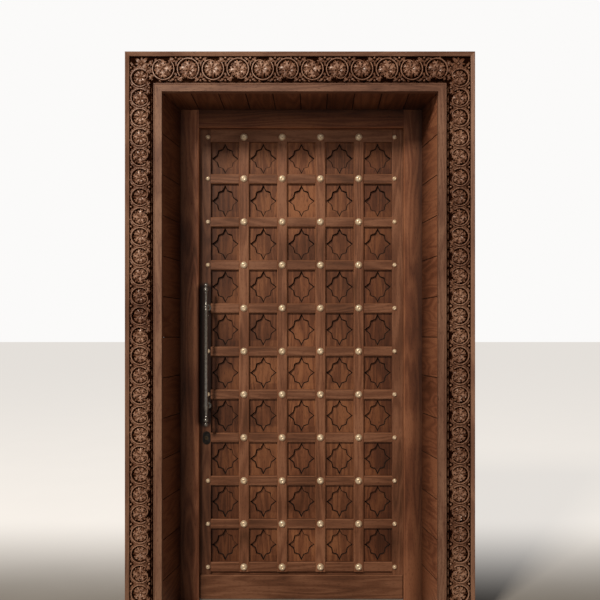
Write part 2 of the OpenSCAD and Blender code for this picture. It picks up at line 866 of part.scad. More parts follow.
module top_rail() {
    color(teak) placed() difference() {
        union() {
            block([-field_half, leaf_y, rail_low_z], [field_half, leaf_back_y, leaf_top_z]);
            rail_tenon(rail_low_z, leaf_top_z, 0);
            left_side() rail_tenon(rail_low_z, leaf_top_z, 0);
        }
        for (x = col_x) upright_tenon(x, joint_clear);
        for (x = col_x) stud_hole(x, top_row_z);
    }
}

// Bottom rail, its front set back above the kick board to leave a shadow groove
module bottom_rail() {
    groove_z = floor_gap + kick_h;
    color(teak) placed() {
        along_x(-field_half, field_half) polygon([
            [leaf_y, floor_gap], [leaf_back_y, floor_gap], [leaf_back_y, rail_high_z],
            [panel_y, rail_high_z], [panel_y, groove_z], [leaf_y, groove_z]
        ]);
        rail_tenon(floor_gap, rail_high_z, 0);
        left_side() rail_tenon(floor_gap, rail_high_z, 0);
    }
}

module kick_board() {
    half = clear_half - leaf_gap;
    top_z = floor_gap + kick_h;
    color(teak) placed() along_x(-half, half) polygon([
        [leaf_y - kick_t, floor_gap], [leaf_y, floor_gap], [leaf_y, top_z],
        [leaf_y - kick_t + bar_chamfer, top_z], [leaf_y - kick_t, top_z - bar_chamfer]
    ]);
}

module back_boards() {
    board_w = 2 * field_half / back_boards_n;
    color(teak_dark) placed() for (k = [0:back_boards_n - 1])
        translate([k * board_w - field_half, bar_back_y, rail_high_z])
            linear_extrude(rail_low_z - rail_high_z) polygon([
                for (p = board_section(back_board_t, board_w - board_gap))
                    [p[1] + board_gap / 2, back_board_t - p[0]]
            ]);
}

// Stub tenon at the top of an upright
module upright_tenon(x, grow) {
    half = stub_share * upright_w / 2;
    block(
        [x - half - grow, lap_y - grow, rail_low_z - 1],
        [x + half + grow, lap_y + bar_tenon_t + grow, rail_low_z + bar_tenon_l + grow]
    );
}

// Section of a bar with its two front edges chamfered
function bar_section(w) = [
    [-w / 2 + bar_chamfer, leaf_y], [w / 2 - bar_chamfer, leaf_y], [w / 2, leaf_y + bar_chamfer],
    [w / 2, bar_back_y], [-w / 2, bar_back_y], [-w / 2, leaf_y + bar_chamfer]
];

// Upright, halved from behind where the crossbars pass
module upright(i) {
    color(teak_light) placed() translate([col_x[i], 0, 0]) difference() {
        union() {
            translate([0, 0, rail_high_z]) linear_extrude(rail_low_z - rail_high_z)
                polygon(bar_section(upright_w));
            upright_tenon(0, 0);
        }
        for (z = row_z) block(
            [-upright_w / 2 - 1, lap_y, z - crossbar_h / 2 - joint_clear],
            [upright_w / 2 + 1, bar_back_y + 1, z + crossbar_h / 2 + joint_clear]
        );
        for (z = row_z) stud_hole(0, z);
    }
}

// Crossbar, halved from the front where the uprights pass
module crossbar(j) {
    color(teak_light) placed() translate([0, 0, row_z[j]]) difference() {
        union() {
            along_x(-field_half, field_half) polygon([for (p = bar_section(crossbar_h)) [p[1], p[0]]]);
            bar_tenon(field_half, 0, 0);
            left_side() bar_tenon(field_half, 0, 0);
        }
        for (x = col_x) block(
            [x - upright_w / 2 - joint_clear, leaf_y - 1, -crossbar_h / 2 - 1],
            [x + upright_w / 2 + joint_clear, lap_y, crossbar_h / 2 + 1]
        );
        for (x = col_x) stud_hole(x, 0);
    }
}

// Quarter of the star's outline for a panel of half size a by b, and the whole outline
function star_quarter(a, b) = [
    [0, b - star_edge], [tip_half_x, b - star_edge - tip_l_z], [a - shoulder_in_x, b - shoulder_in_z],
    [a - star_edge - tip_l_x, tip_half_z], [a - star_edge, 0]
];
function star_outline(a, b) = let (q = star_quarter(a, b), n = len(q) - 1) concat(
    q,
    [for (k = [1:n]) [q[n - k][0], -q[n - k][1]]],
    [for (k = [1:n]) [-q[k][0], -q[k][1]]],
    [for (k = [1:n - 1]) [-q[n - k][0], q[n - k][1]]]
);

// Panel that fills one cell, with a sunk eight-pointed star
module star_panel(w, h) {
    difference() {
        block([-w / 2, panel_y, -h / 2], [w / 2, bar_back_y, h / 2]);
        along_y(panel_y - 1, panel_y + star_depth) polygon(star_outline(w / 2, h / 2));
    }
}

// One column of star panels
module star_panels(i) {
    x = (i - (columns - 1) / 2) * col_pitch;
    color(teak_dark) placed() for (j = [0:rows - 1]) {
        z0 = row_z[j] + crossbar_h / 2;
        z1 = j < rows - 1 ? row_z[j + 1] - crossbar_h / 2 : rail_low_z;
        translate([x, 0, (z0 + z1) / 2]) star_panel(cell_w - 2 * panel_clear, z1 - z0 - 2 * panel_clear);
    }
}

// Domed nail with a small dimple, its head on the face of the leaf
module stud(d, h) {
    ball_r = (d * d / 4 + h * h) / (2 * h);
    dimple_r = d / 7;
    rotate([90, 0, 0]) {
        difference() {
            translate([0, 0, h - ball_r]) sphere(ball_r);
            translate([0, 0, -2 * ball_r]) cylinder(r = 2 * ball_r, h = 2 * ball_r);
            translate([0, 0, h + dimple_r / 2]) sphere(dimple_r);
        }
        translate([0, 0, -stud_shank_l]) cylinder(d = stud_shank_d, h = stud_shank_l + 1);
    }
}

module brass_studs() {
    color(brass) placed() for (x = col_x, z = stud_z) translate([x, leaf_y, z]) stud(stud_d, stud_h);
}

module edge_studs() {
    color(brass) placed() {
        for (z = stud_z) translate([edge_stud_x, leaf_y, z]) stud(edge_stud_d, edge_stud_h);
        for (z = left_stud_z) translate([-edge_stud_x, leaf_y, z]) stud(edge_stud_d, edge_stud_h);
    }
}

// Lock parts, drawn on the right side and mirrored
module bolt_body(x0, x1, grow) {
    block(
        [x0, lock_y - bolt_t / 2 - grow, bolt_z - bolt_h / 2 - grow],
        [x1, lock_y + bolt_t / 2 + grow, bolt_z + bolt_h / 2 + grow]
    );
}

module lock_case_body(grow) {
    block(
        [leaf_half - case_depth - grow, lock_y - case_t / 2 - grow, case_z - case_h / 2 - grow],
        [leaf_half - forend_t + grow, lock_y + case_t / 2 + grow, case_z + case_h / 2 + grow]
    );
}

module forend_body(grow) {
    block(
        [leaf_half - forend_t, lock_y - forend_w / 2 - grow, case_z - forend_h / 2 - grow],
        [leaf_half + grow, lock_y + forend_w / 2 + grow, case_z + forend_h / 2 + grow]
    );
}

// Round lock cylinder between two depths, grown by a clearance for its holes
module cylinder_body(y0, y1, grow) {
    translate([cylinder_x, y0, cylinder_z]) rotate([-90, 0, 0]) cylinder(r = cylinder_r + grow, h = y1 - y0);
}

module lock_case() {
    color(iron) placed() left_side() difference() {
        lock_case_body(0);
        bolt_body(leaf_half - bolt_l - 2, leaf_half + 1, bolt_clear);
        cylinder_body(leaf_y, leaf_back_y, clear_r);
    }
}

module lock_forend() {
    color(iron) placed() left_side() difference() {
        forend_body(0);
        bolt_body(leaf_half - bolt_l, leaf_half + 1, bolt_clear);
        for (z = lock_screw_z) translate([leaf_half, lock_y, z]) left_side() screw_seat();
    }
}

module lock_bolt() {
    color(iron) placed() left_side() bolt_body(leaf_half - bolt_l, leaf_half - bolt_clear, 0);
}

module escutcheons() {
    color(iron) placed() left_side() difference() {
        for (y = [leaf_y - escutcheon_t, leaf_back_y]) along_y(y, y + escutcheon_t)
            translate([cylinder_x, cylinder_z]) {
                square([escutcheon_w, escutcheon_h - escutcheon_w], center = true);
                for (s = [-1, 1]) translate([0, s * (escutcheon_h - escutcheon_w) / 2])
                    circle(d = escutcheon_w);
            }
        cylinder_body(leaf_y - escutcheon_t - 1, leaf_back_y + escutcheon_t + 1, clear_r);
    }
}

module lock_cylinder() {
    front_y = leaf_y - escutcheon_t;
    color(brass) placed() left_side() difference() {
        cylinder_body(front_y, leaf_back_y + escutcheon_t, 0);
        translate([cylinder_x, front_y - 1, cylinder_z]) rotate([-90, 0, 0])
            cylinder(r = plug_r + plug_clear, h = plug_l + 1);
    }
}

// Plug that the key turns, with its slot
module key_plug() {
    front_y = leaf_y - escutcheon_t - plug_proud;
    color(brass) placed() left_side() translate([cylinder_x, front_y, cylinder_z]) difference() {
        rotate([-90, 0, 0]) cylinder(r = plug_r, h = plug_l + plug_proud - clear_r);
        block([-key_slot_w / 2, -1, -key_slot_h / 2], [key_slot_w / 2, key_slot_l, key_slot_h / 2]);
    }
}

// Pull bar with a collar and a boss at each post, a vase round the lower one, and necks that end in two balls
module pull_bar() {
    ball_in = 2 * tip_ball_r + ball_r - 2;
    color(iron) placed() left_side() translate([handle_x, handle_y, 0]) difference() {
        union() {
            translate([0, 0, handle_z + ball_in]) cylinder(d = neck_d, h = handle_l - 2 * ball_in);
            translate([0, 0, post_z[0]]) {
                cylinder(d = handle_d, h = post_z[1] - post_z[0]);
                cylinder(r1 = collar_r, d2 = handle_d, h = vase_l);
                translate([0, 0, -vase_l]) cylinder(d1 = neck_d, r2 = collar_r, h = vase_l);
            }
            for (z = [handle_z + tip_ball_r, handle_z + handle_l - tip_ball_r]) translate([0, 0, z])
                sphere(tip_ball_r);
            for (z = [handle_z + ball_in, handle_z + handle_l - ball_in]) translate([0, 0, z])
                sphere(ball_r);
            for (z = post_z) translate([0, 0, z]) {
                sphere(collar_r);
                rotate([-90, 0, 0]) cylinder(r = post_r + 1, h = post_boss);
            }
        }
        for (z = post_z) translate([0, post_boss - spigot_l, z]) rotate([-90, 0, 0])
            cylinder(r = spigot_r + clear_r, h = spigot_l + 1);
    }
}

// Posts of the handle: spigot, stem, rose on the stile and threaded tail through it
module handle_posts() {
    stem_l = handle_reach - post_boss;
    color(iron) placed() left_side() for (z = post_z)
        translate([handle_x, handle_y + post_boss, z]) rotate([-90, 0, 0]) {
            translate([0, 0, 1 - spigot_l]) cylinder(r = spigot_r, h = spigot_l);
            cylinder(r = post_r, h = stem_l);
            translate([0, 0, stem_l - rose_t]) cylinder(r = rose_r, h = rose_t);
            translate([0, 0, stem_l - 1]) cylinder(r = spigot_r, h = leaf_t + nut_t + tail_over + 1);
        }
}

module handle_nuts() {
    color(iron) placed() left_side() for (z = post_z)
        translate([handle_x, leaf_back_y, z]) rotate([-90, 0, 0]) difference() {
            cylinder(r = nut_r, h = nut_t, $fn = 6);
            translate([0, 0, -1]) cylinder(r = spigot_r + clear_r, h = nut_t + 2);
        }
}

outer_bead_left();
outer_bead_right();
outer_bead_top();
carved_band_left();
carved_band_right();
carved_band_top();
inner_bead_left();
inner_bead_right();
inner_bead_top();
lining_left();
lining_right();
lining_soffit();
battens_left();
battens_right();
battens_top();
post_left();
post_right();
head();
strike_plate();
hinge_leaves_fixed();
hinge_pins();
frame_screws();
lock_stile();
hinge_stile();
top_rail();
bottom_rail();
kick_board();
back_boards();
upright(0);  // upright_1
upright(1);  // upright_2
upright(2);  // upright_3
upright(3);  // upright_4
crossbar(0);  // crossbar_1
crossbar(1);  // crossbar_2
crossbar(2);  // crossbar_3
crossbar(3);  // crossbar_4
crossbar(4);  // crossbar_5
crossbar(5);  // crossbar_6
crossbar(6);  // crossbar_7
crossbar(7);  // crossbar_8
crossbar(8);  // crossbar_9
crossbar(9);  // crossbar_10
star_panels(0);  // star_panels_1
star_panels(1);  // star_panels_2
star_panels(2);  // star_panels_3
star_panels(3);  // star_panels_4
star_panels(4);  // star_panels_5
brass_studs();
edge_studs();
hinge_leaves_moving();
leaf_screws();
lock_case();
lock_forend();
lock_bolt();
lock_cylinder();
key_plug();
escutcheons();
pull_bar();
handle_posts();
handle_nuts();
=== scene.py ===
# %% [markdown]
# # Carved temple door in its frame
# The door is dark oiled hardwood: a leaf of crossed bars with a star cut into every panel, brass studs
# on the crossings, a black iron pull bar, and a carved band round a deep lined reveal. The solids are
# already right in size, so this lesson loads them as a fixed frame, gives each one a finish, and models
# again only what needs finer forms than a solid gives: the carving, the studs and the ironwork.

# %% Load the frame
import math

import bmesh
import bpy
from mathutils import Matrix, Vector


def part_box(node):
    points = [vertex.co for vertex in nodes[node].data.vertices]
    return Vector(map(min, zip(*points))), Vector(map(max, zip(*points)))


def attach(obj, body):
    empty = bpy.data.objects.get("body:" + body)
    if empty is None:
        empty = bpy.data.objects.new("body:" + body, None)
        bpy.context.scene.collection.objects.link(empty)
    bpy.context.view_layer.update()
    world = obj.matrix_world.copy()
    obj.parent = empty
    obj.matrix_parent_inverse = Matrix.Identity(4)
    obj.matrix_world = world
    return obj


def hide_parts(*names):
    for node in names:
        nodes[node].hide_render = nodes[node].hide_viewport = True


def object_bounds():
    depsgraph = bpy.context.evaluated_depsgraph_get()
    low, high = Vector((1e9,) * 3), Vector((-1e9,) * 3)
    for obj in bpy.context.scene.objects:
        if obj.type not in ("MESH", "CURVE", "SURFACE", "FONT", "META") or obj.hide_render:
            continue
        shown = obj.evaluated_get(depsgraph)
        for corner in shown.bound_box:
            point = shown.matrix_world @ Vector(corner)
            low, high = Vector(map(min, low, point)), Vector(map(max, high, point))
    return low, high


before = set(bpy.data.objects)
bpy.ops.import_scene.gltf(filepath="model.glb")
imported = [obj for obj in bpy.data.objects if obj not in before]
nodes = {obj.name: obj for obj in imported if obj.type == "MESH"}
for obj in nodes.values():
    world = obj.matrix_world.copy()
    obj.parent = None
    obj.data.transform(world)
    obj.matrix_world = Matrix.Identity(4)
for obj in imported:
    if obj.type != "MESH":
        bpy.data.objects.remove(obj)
cad_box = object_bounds()
scene = bpy.context.scene
MM = 0.001
print("nodes:", len(nodes), "box:", [round(v, 4) for corner in cad_box for v in corner])

# %% [markdown]
# ## The camera
# The door is seen straight on, from about three metres, at shoulder height. A shifted lens keeps the
# uprights vertical while the frame takes in the whole height, as an architect's camera does, so the
# camera looks level and the shift moves the picture instead of a tilt.

# %% Camera
front_y = cad_box[0].y
lens = bpy.data.cameras.new("camera")
lens.sensor_width, lens.lens = 36.0, 44.6
lens.shift_x, lens.shift_y = -0.0267, 0.0583
camera = bpy.data.objects.new("camera", lens)
camera.location = (0.065, front_y - 3.012, 1.172)
camera.rotation_euler = (math.pi / 2, 0.0, 0.0)
scene.collection.objects.link(camera)
scene.camera = camera
print("camera:", [round(v, 3) for v in camera.location])

# %% [markdown]
# ## Nodes and colours
# Every finish is a small tree of shader nodes. One function adds a node, sets its values and links its
# sockets, and another turns the sRGB hex values that colours are picked in to the linear values that
# Blender works in.


# %% Helpers for finishes
def linear(code):
    """Linear red, green, blue and alpha from an sRGB hex value."""
    parts = [int(code[i:i + 2], 16) / 255 for i in (0, 2, 4)]
    return [v / 12.92 if v <= 0.04045 else ((v + 0.055) / 1.055) ** 2.4 for v in parts] + [1.0]


def add(tree, kind, settings=None, inputs=None, stops=()):
    """Adds a node, sets its values, links the sockets that are given and fills its colour ramp."""
    node = tree.nodes.new("ShaderNode" + kind)
    for key, value in (settings or {}).items():
        setattr(node, key, value)
    for key, value in (inputs or {}).items():
        if isinstance(value, bpy.types.NodeSocket):
            tree.links.new(value, node.inputs[key])
        else:
            node.inputs[key].default_value = value
    for k, (place, colour) in enumerate(stops):
        ramp = node.color_ramp.elements
        stop = ramp[k] if k < len(ramp) else ramp.new(place)
        stop.position, stop.color = place, colour
    return node


SMOOTH = {"interpolation_type": "SMOOTHSTEP"}
MULTIPLY = {"data_type": "RGBA", "blend_type": "MULTIPLY"}
print("middle grey in linear values:", [round(v, 3) for v in linear("808080")])

# %% [markdown]
# ## The floor
# A plain pale floor of smoothed screed keeps the eye on the door. What the eye gets is a matt, slightly
# cloudy grey. Behind the door and far in front of it the floor glows, as if it had lamps of its own, so
# that it stays pale as far as the horizon, and near the door it doesn't, or it would light the reveal.

# %% Floor
bm = bmesh.new()
bmesh.ops.create_grid(bm, x_segments=1, y_segments=1, size=120.0)
floor_mesh = bpy.data.meshes.new("floor")
bm.to_mesh(floor_mesh)
bm.free()
floor = bpy.data.objects.new("floor", floor_mesh)
scene.collection.objects.link(floor)

screed = bpy.data.materials.new("pale_screed")
screed.use_nodes = True
tree = screed.node_tree
shader = tree.nodes["Principled BSDF"]
shader.inputs["Roughness"].default_value = 0.9
shader.inputs["Emission Color"].default_value = linear("fffaf4")
place = add(tree, "TexCoord")
split = add(tree, "SeparateXYZ", {}, {0: place.outputs["Object"]})
behind = add(tree, "MapRange", SMOOTH, {
    "Value": split.outputs["Y"], "From Min": -0.1, "From Max": 1.6, "To Max": 0.76})
far = add(tree, "MapRange", SMOOTH, {
    "Value": split.outputs["Y"], "From Min": -3.5, "From Max": -9.0, "To Max": 0.4})
glow = add(tree, "Math", {}, {0: behind.outputs[0], 1: far.outputs[0]})
tree.links.new(glow.outputs[0], shader.inputs["Emission Strength"])
# clouds half a metre wide
cloud = add(tree, "TexNoise", {}, {"Vector": place.outputs["Object"], "Scale": 1 / 0.5, "Detail": 3.0})
tone = add(tree, "ValToRGB", {}, {"Fac": cloud.outputs["Fac"]},
           [(0.3, linear("bab6b1")), (0.7, linear("c2beba"))])
tree.links.new(tone.outputs["Color"], shader.inputs["Base Color"])
floor_mesh.materials.append(screed)
print("floor:", floor.dimensions[:2])

# %% [markdown]
# ## Sky and lamps
# The reveal is deep, so the light decides how it reads: a key lamp to the upper left of the camera leaves
# the left lining and the soffit in shade, lights the right lining, and draws crisp shadows under the bars
# and in the stars. A weak soft lamp near the camera opens the shade. The sky that the camera sees is much
# brighter than the sky that lights the wood, or the shade would wash out.

# %% Light
sky = bpy.data.worlds.new("studio")
sky.use_nodes = True
scene.world = sky
tree = sky.node_tree
tree.nodes.clear()
path = add(tree, "LightPath")
seen = add(tree, "Background", {}, {"Color": linear("fbfaf9"), "Strength": 1.0})
felt = add(tree, "Background", {}, {"Color": linear("fff6ec"), "Strength": 0.03})
both = add(tree, "MixShader", {}, {0: path.outputs["Is Camera Ray"], 1: felt.outputs[0],
                                   2: seen.outputs[0]})
add(tree, "OutputWorld", {}, {"Surface": both.outputs[0]})
DOOR_MIDDLE = Vector((0.0, 0.0, 1.15))


def lamp(name, size, watts, azimuth, elevation, distance, tint):
    """An area lamp that looks at the middle of the door from an angle left of the camera."""
    data = bpy.data.lights.new(name, "AREA")
    data.size, data.energy, data.color = size, watts, linear(tint)[:3]
    made = bpy.data.objects.new(name, data)
    a, e = math.radians(azimuth), math.radians(elevation)
    away = Vector((-math.sin(a) * math.cos(e), -math.cos(a) * math.cos(e), math.sin(e)))
    made.location = DOOR_MIDDLE + distance * away
    made.rotation_euler = away.to_track_quat("Z", "Y").to_euler()
    scene.collection.objects.link(made)


lamp("key", 1.6, 650.0, 27.0, 34.5, 10.0, "fff3e2")
lamp("soft", 4.5, 40.0, 6.0, 13.0, 9.0, "fff6ec")
scene.view_settings.view_transform = "Standard"

# %% [markdown]
# ## Grain of the hardwood
# The wood is a dense brown hardwood such as sheesham or teak, planed, stained and oiled. What the eye
# gets is long straight grain with a few arched figures, fine dark pores and a soft satin sheen. The
# figure is drawn as contour lines of a cloud that is stretched along the grain, which arch as the
# growth rings of a sawn board do. Fibres and pores are finer clouds, stretched further. Each finish
# names the axis that its boards run along, so posts, rails and linings don't share one direction.

# %% Grain
FIGURE_W, RING_LINES = 70 * MM, 55.0
FIBRE_W, PORE_W, STAIN_W = 1.8 * MM, 1.1 * MM, 300 * MM


def grain(tree, point, along):
    """The level of tone at a point, and the fibres and the pores by themselves."""
    axis = "XYZ".index(along)

    # growth rings about 9 mm apart, in figures ten times as long as wide
    stretch = [1.0, 1.0, 1.0]
    stretch[axis] = 0.1
    figure_space = add(tree, "Mapping", {}, {"Vector": point, "Scale": stretch})
    cloud = add(tree, "TexNoise", {}, {"Vector": figure_space.outputs[0], "Scale": 1 / FIGURE_W,
                                       "Detail": 1.5, "Roughness": 0.45, "Distortion": 0.25})
    rings = add(tree, "Math", {"operation": "MULTIPLY"}, {0: cloud.outputs["Fac"], 1: RING_LINES})
    wave = add(tree, "Math", {"operation": "SINE"}, {0: rings.outputs[0]})

    # fibres 70 mm long, drawn coarser than the real ones so that they show
    stretch[axis] = 0.026
    fibre_space = add(tree, "Mapping", {}, {"Vector": point, "Scale": stretch})
    fibre = add(tree, "TexNoise", {}, {"Vector": fibre_space.outputs[0], "Scale": 1 / FIBRE_W,
                                       "Detail": 3.0, "Roughness": 0.6}).outputs["Fac"]

    # open pores, thin dark strokes, drawn coarser as well
    stretch[axis] = 0.05
    pore_space = add(tree, "Mapping", {}, {"Vector": point, "Scale": stretch})
    pore = add(tree, "TexNoise", {}, {"Vector": pore_space.outputs[0], "Scale": 1 / PORE_W,
                                      "Detail": 1.0})
    pores = add(tree, "MapRange", {}, {"Value": pore.outputs["Fac"], "From Min": 0.6,
                                       "From Max": 0.72}).outputs[0]

    # slow change of tone, as the stain takes
    slow = add(tree, "TexNoise", {}, {"Vector": point, "Scale": 1 / STAIN_W, "Detail": 1.0})
    part = add(tree, "Math", {"operation": "MULTIPLY_ADD"}, {0: wave.outputs[0], 1: 0.1,
                                                             2: slow.outputs["Fac"]})
    level = add(tree, "Math", {"operation": "MULTIPLY_ADD"}, {0: fibre, 1: 0.6, 2: part.outputs[0]})
    return level.outputs[0], fibre, pores


print("figure, fibre and pore widths in mm:", [round(w / MM, 1) for w in (FIGURE_W, FIBRE_W, PORE_W)])

# %% [markdown]
# ## Boards and their joints
# Linings and panels are made of boards that differ a little from each other and hold dirt in their
# joints. Both come from counting along one axis in board widths: the whole part of the count picks a tone
# for each board, and the rest of it says how near the joint is.

# %% Boards
BOARD_SHIFT = 0.08


def boards(tree, point, level, board, joint):
    """The level of tone shifted from board to board, and the dirt where the joints have a width."""
    line, pitch, offset = board
    split = add(tree, "SeparateXYZ", {}, {0: point})
    count = add(tree, "Math", {"operation": "MULTIPLY_ADD"}, {
        0: split.outputs["XYZ".index(line)], 1: 1 / pitch, 2: -offset / pitch})
    whole = add(tree, "Math", {"operation": "FLOOR"}, {0: count.outputs[0]})
    chance = add(tree, "TexWhiteNoise", {"noise_dimensions": "1D"}, {"W": whole.outputs[0]})
    shift = add(tree, "MapRange", {}, {"Value": chance.outputs["Value"], "To Min": -BOARD_SHIFT,
                                       "To Max": BOARD_SHIFT})
    level = add(tree, "Math", {}, {0: level, 1: shift.outputs[0]}).outputs[0]
    if not joint:
        return level, None
    # the dirt is drawn a little wider than the gap so that it shows
    share = add(tree, "Math", {"operation": "FRACT"}, {0: count.outputs[0]})
    off = add(tree, "Math", {"operation": "SUBTRACT"}, {0: share.outputs[0], 1: 0.5})
    side = add(tree, "Math", {"operation": "ABSOLUTE"}, {0: off.outputs[0]})
    seam = add(tree, "MapRange", {}, {"Value": side.outputs[0], "From Min": 0.5 - joint / pitch,
                                      "From Max": 0.5 - 0.5 * joint / pitch})
    return level, seam.outputs[0]


print("tone shift from board to board:", BOARD_SHIFT)

# %% [markdown]
# ## Wear, painted shade and the painted shadow of the pull bar
# Worn corners are lighter: they are found by the surface's own normal, which leaves the three main
# directions only on a chamfer or a curve. A painted shade darkens the wood along one axis, in corners and
# hollows where shade falls; in the hollows of the carving it stands for a dark stain as well. The painted
# shadow of the pull bar lies round an upright line, so it goes by the distance from that line, and past its
# ends by the distance from the nearer end.

# %% Wear
BAR_SHADOW_NEAR, BAR_SHADOW_FAR = 22 * MM, 44 * MM


def wear(tree, normal, colour, light, worn):
    """The colour with lighter corners."""
    plain = add(tree, "VectorMath", {"operation": "ABSOLUTE"}, {0: normal})
    sides = add(tree, "SeparateXYZ", {}, {0: plain.outputs[0]})
    two = add(tree, "Math", {"operation": "MAXIMUM"}, {0: sides.outputs[0], 1: sides.outputs[1]})
    most = add(tree, "Math", {"operation": "MAXIMUM"}, {0: two.outputs[0], 1: sides.outputs[2]})
    corner = add(tree, "MapRange", {}, {"Value": most.outputs[0], "From Min": 0.98, "From Max": 0.85,
                                        "To Max": worn})
    return add(tree, "Mix", {"data_type": "RGBA", "blend_type": "SCREEN"}, {
        0: corner.outputs[0], 6: colour, 7: linear(light)}).outputs[2]


def shaded(tree, point, colour, shade):
    """The colour darkened along an axis, and how far a point lies from the dark end."""
    line, start, end, stops = shade
    split = add(tree, "SeparateXYZ", {}, {0: point})
    spot = split.outputs["XYZ".index(line)]
    if line == "X":
        # the left side is shaded as the right one
        spot = add(tree, "Math", {"operation": "ABSOLUTE"}, {0: spot}).outputs[0]
    reach = add(tree, "MapRange", {}, {"Value": spot, "From Min": start, "From Max": end})
    # painted shade, and in the carving a dark stain as well
    stain_and_shade = add(tree, "ValToRGB", {}, {"Fac": reach.outputs[0]}, stops)
    return add(tree, "Mix", MULTIPLY, {0: 1.0, 6: colour, 7: stain_and_shade.outputs[0]}).outputs[2], reach.outputs[0]


def bar_shadowed(tree, point, colour, bar_shadow):
    """The colour darkened round an upright line, a painted shadow of the pull bar."""
    x, foot, top = bar_shadow
    split = add(tree, "SeparateXYZ", {}, {0: point})
    aside = add(tree, "Math", {"operation": "SUBTRACT"}, {0: split.outputs[0], 1: x})
    height = add(tree, "Math", {"operation": "SUBTRACT"}, {0: split.outputs[2], 1: (foot + top) / 2})
    off = add(tree, "Math", {"operation": "ABSOLUTE"}, {0: height.outputs[0]})
    past = add(tree, "Math", {"operation": "SUBTRACT"}, {0: off.outputs[0], 1: (top - foot) / 2})
    beyond = add(tree, "Math", {"operation": "MAXIMUM"}, {0: past.outputs[0], 1: 0.0})
    pair = add(tree, "CombineXYZ", {}, {0: aside.outputs[0], 1: beyond.outputs[0]})
    gap = add(tree, "VectorMath", {"operation": "LENGTH"}, {0: pair.outputs[0]})
    # painted shadow of the pull bar: full near the line, gone further off
    shadow_share = add(tree, "MapRange", SMOOTH, {"Value": gap.outputs["Value"], "From Min": BAR_SHADOW_NEAR,
                                          "From Max": BAR_SHADOW_FAR, "To Min": 1.0, "To Max": 0.0})
    return add(tree, "Mix", MULTIPLY, {0: shadow_share.outputs[0], 6: colour, 7: linear("5a4436")}).outputs[2]


print("hand stain in mm, full to and gone at:", round(BAR_SHADOW_NEAR / MM), round(BAR_SHADOW_FAR / MM))

# %% [markdown]
# ## Oiled hardwood
# The finish puts these together. The grain picks one of three tones, the pores, the joints and the shade
# darken it, and the fibres change the sheen and raise a fine relief. With a polish, only what stands proud
# of a shade was rubbed to a shine.


# %% Wood finish
def hardwood(name, dark, mid, light, along, sheen=0.5, worn=0.35, shade=None, board=None, joint=0.0,
             polish=None, bar_shadow=None):
    """A finish in three tones with its grain along an axis."""
    made = bpy.data.materials.new(name)
    made.use_nodes = True
    tree = made.node_tree
    shader = tree.nodes["Principled BSDF"]
    place = add(tree, "TexCoord")
    point = place.outputs["Object"]
    level, fibre, pores = grain(tree, point, along)
    seam = reach = None
    if board:
        level, seam = boards(tree, point, level, board, joint)
    tone = add(tree, "ValToRGB", {}, {"Fac": level},
               [(0.45, linear(dark)), (0.95, linear(light)), (0.72, linear(mid))])
    colour = add(tree, "Mix", MULTIPLY, {0: pores, 6: tone.outputs[0], 7: linear("8f7a6c")}).outputs[2]
    if worn:
        colour = wear(tree, place.outputs["Normal"], colour, light, worn)
    if seam:
        colour = add(tree, "Mix", MULTIPLY, {0: seam, 6: colour, 7: linear("4a3a2e")}).outputs[2]
    if shade:
        colour, reach = shaded(tree, point, colour, shade)
    if bar_shadow:
        colour = bar_shadowed(tree, point, colour, bar_shadow)
    tree.links.new(colour, shader.inputs["Base Color"])
    gloss = add(tree, "MapRange", {}, {"Value": fibre, "From Min": 0.3, "From Max": 0.7,
                                       "To Min": sheen - 0.06, "To Max": sheen + 0.1})
    tree.links.new(gloss.outputs[0], shader.inputs["Roughness"])
    shader.inputs["Specular IOR Level"].default_value = 0.28
    if polish:
        rubbed = add(tree, "MapRange", {}, {"Value": reach, "From Min": 0.3, "To Max": polish})
        tree.links.new(rubbed.outputs[0], shader.inputs["Specular IOR Level"])
    relief = add(tree, "Math", {"operation": "SUBTRACT"}, {0: fibre, 1: pores})
    bump = add(tree, "Bump", {}, {"Height": relief.outputs[0], "Strength": 0.35, "Distance": 0.25 * MM})
    tree.links.new(bump.outputs[0], shader.inputs["Normal"])
    return made


def dress(material, *names):
    """Gives the solids of these names one finish."""
    for n in names:
        for s in nodes[n].material_slots:
            s.material = material


print("solids to dress:", sum(len(n.material_slots) > 0 for n in nodes.values()))

# %% [markdown]
# ## Woods of the frame
# The same timber is used throughout, with paler beads than linings. Each group has its own three tones and
# grain axis, and the linings, the posts and the head have a painted shade towards the corner where they
# meet. The right lining and the left post have lighter tones as painted light, the head darker ones as
# painted shade, and the post beside the pull bar has a painted shadow of the bar. The battens were left
# rough.

# %% Dress the frame
BEAD = ("5f3e2f", "7c5644", "946d57")
FRAME = ("573221", "7b4b33", "996548")
# lighter copies of the frame's tones, painted light on the right lining and the left post
LIT = ("643b26", "905a41", "b27757")
# a darker copy of the frame's tones, painted shade on the head beam
HEAD = ("4e2a1a", "6e402a", "895639")
SAWN = ("6a472f", "8c6446", "a78061")
SIDE_BOARD, SOFFIT_BOARD = 166.15 * MM, 111.6 * MM
SIDE_JOINT, SOFFIT_JOINT = 2.6 * MM, 3 * MM
# how far from the opening the shade is full, on a post and on the head, and where it starts
POST_SHADE, HEAD_SHADE, SHADE_START = 79 * MM, 78 * MM, 15 * MM
# how far the painted shadow of the pull bar lies towards the post, and how far it stays from the ends of the
# bar
BAR_SHADOW_ASIDE, BAR_SHADOW_FOOT, BAR_SHADOW_TOP = 12 * MM, 25 * MM, 30 * MM
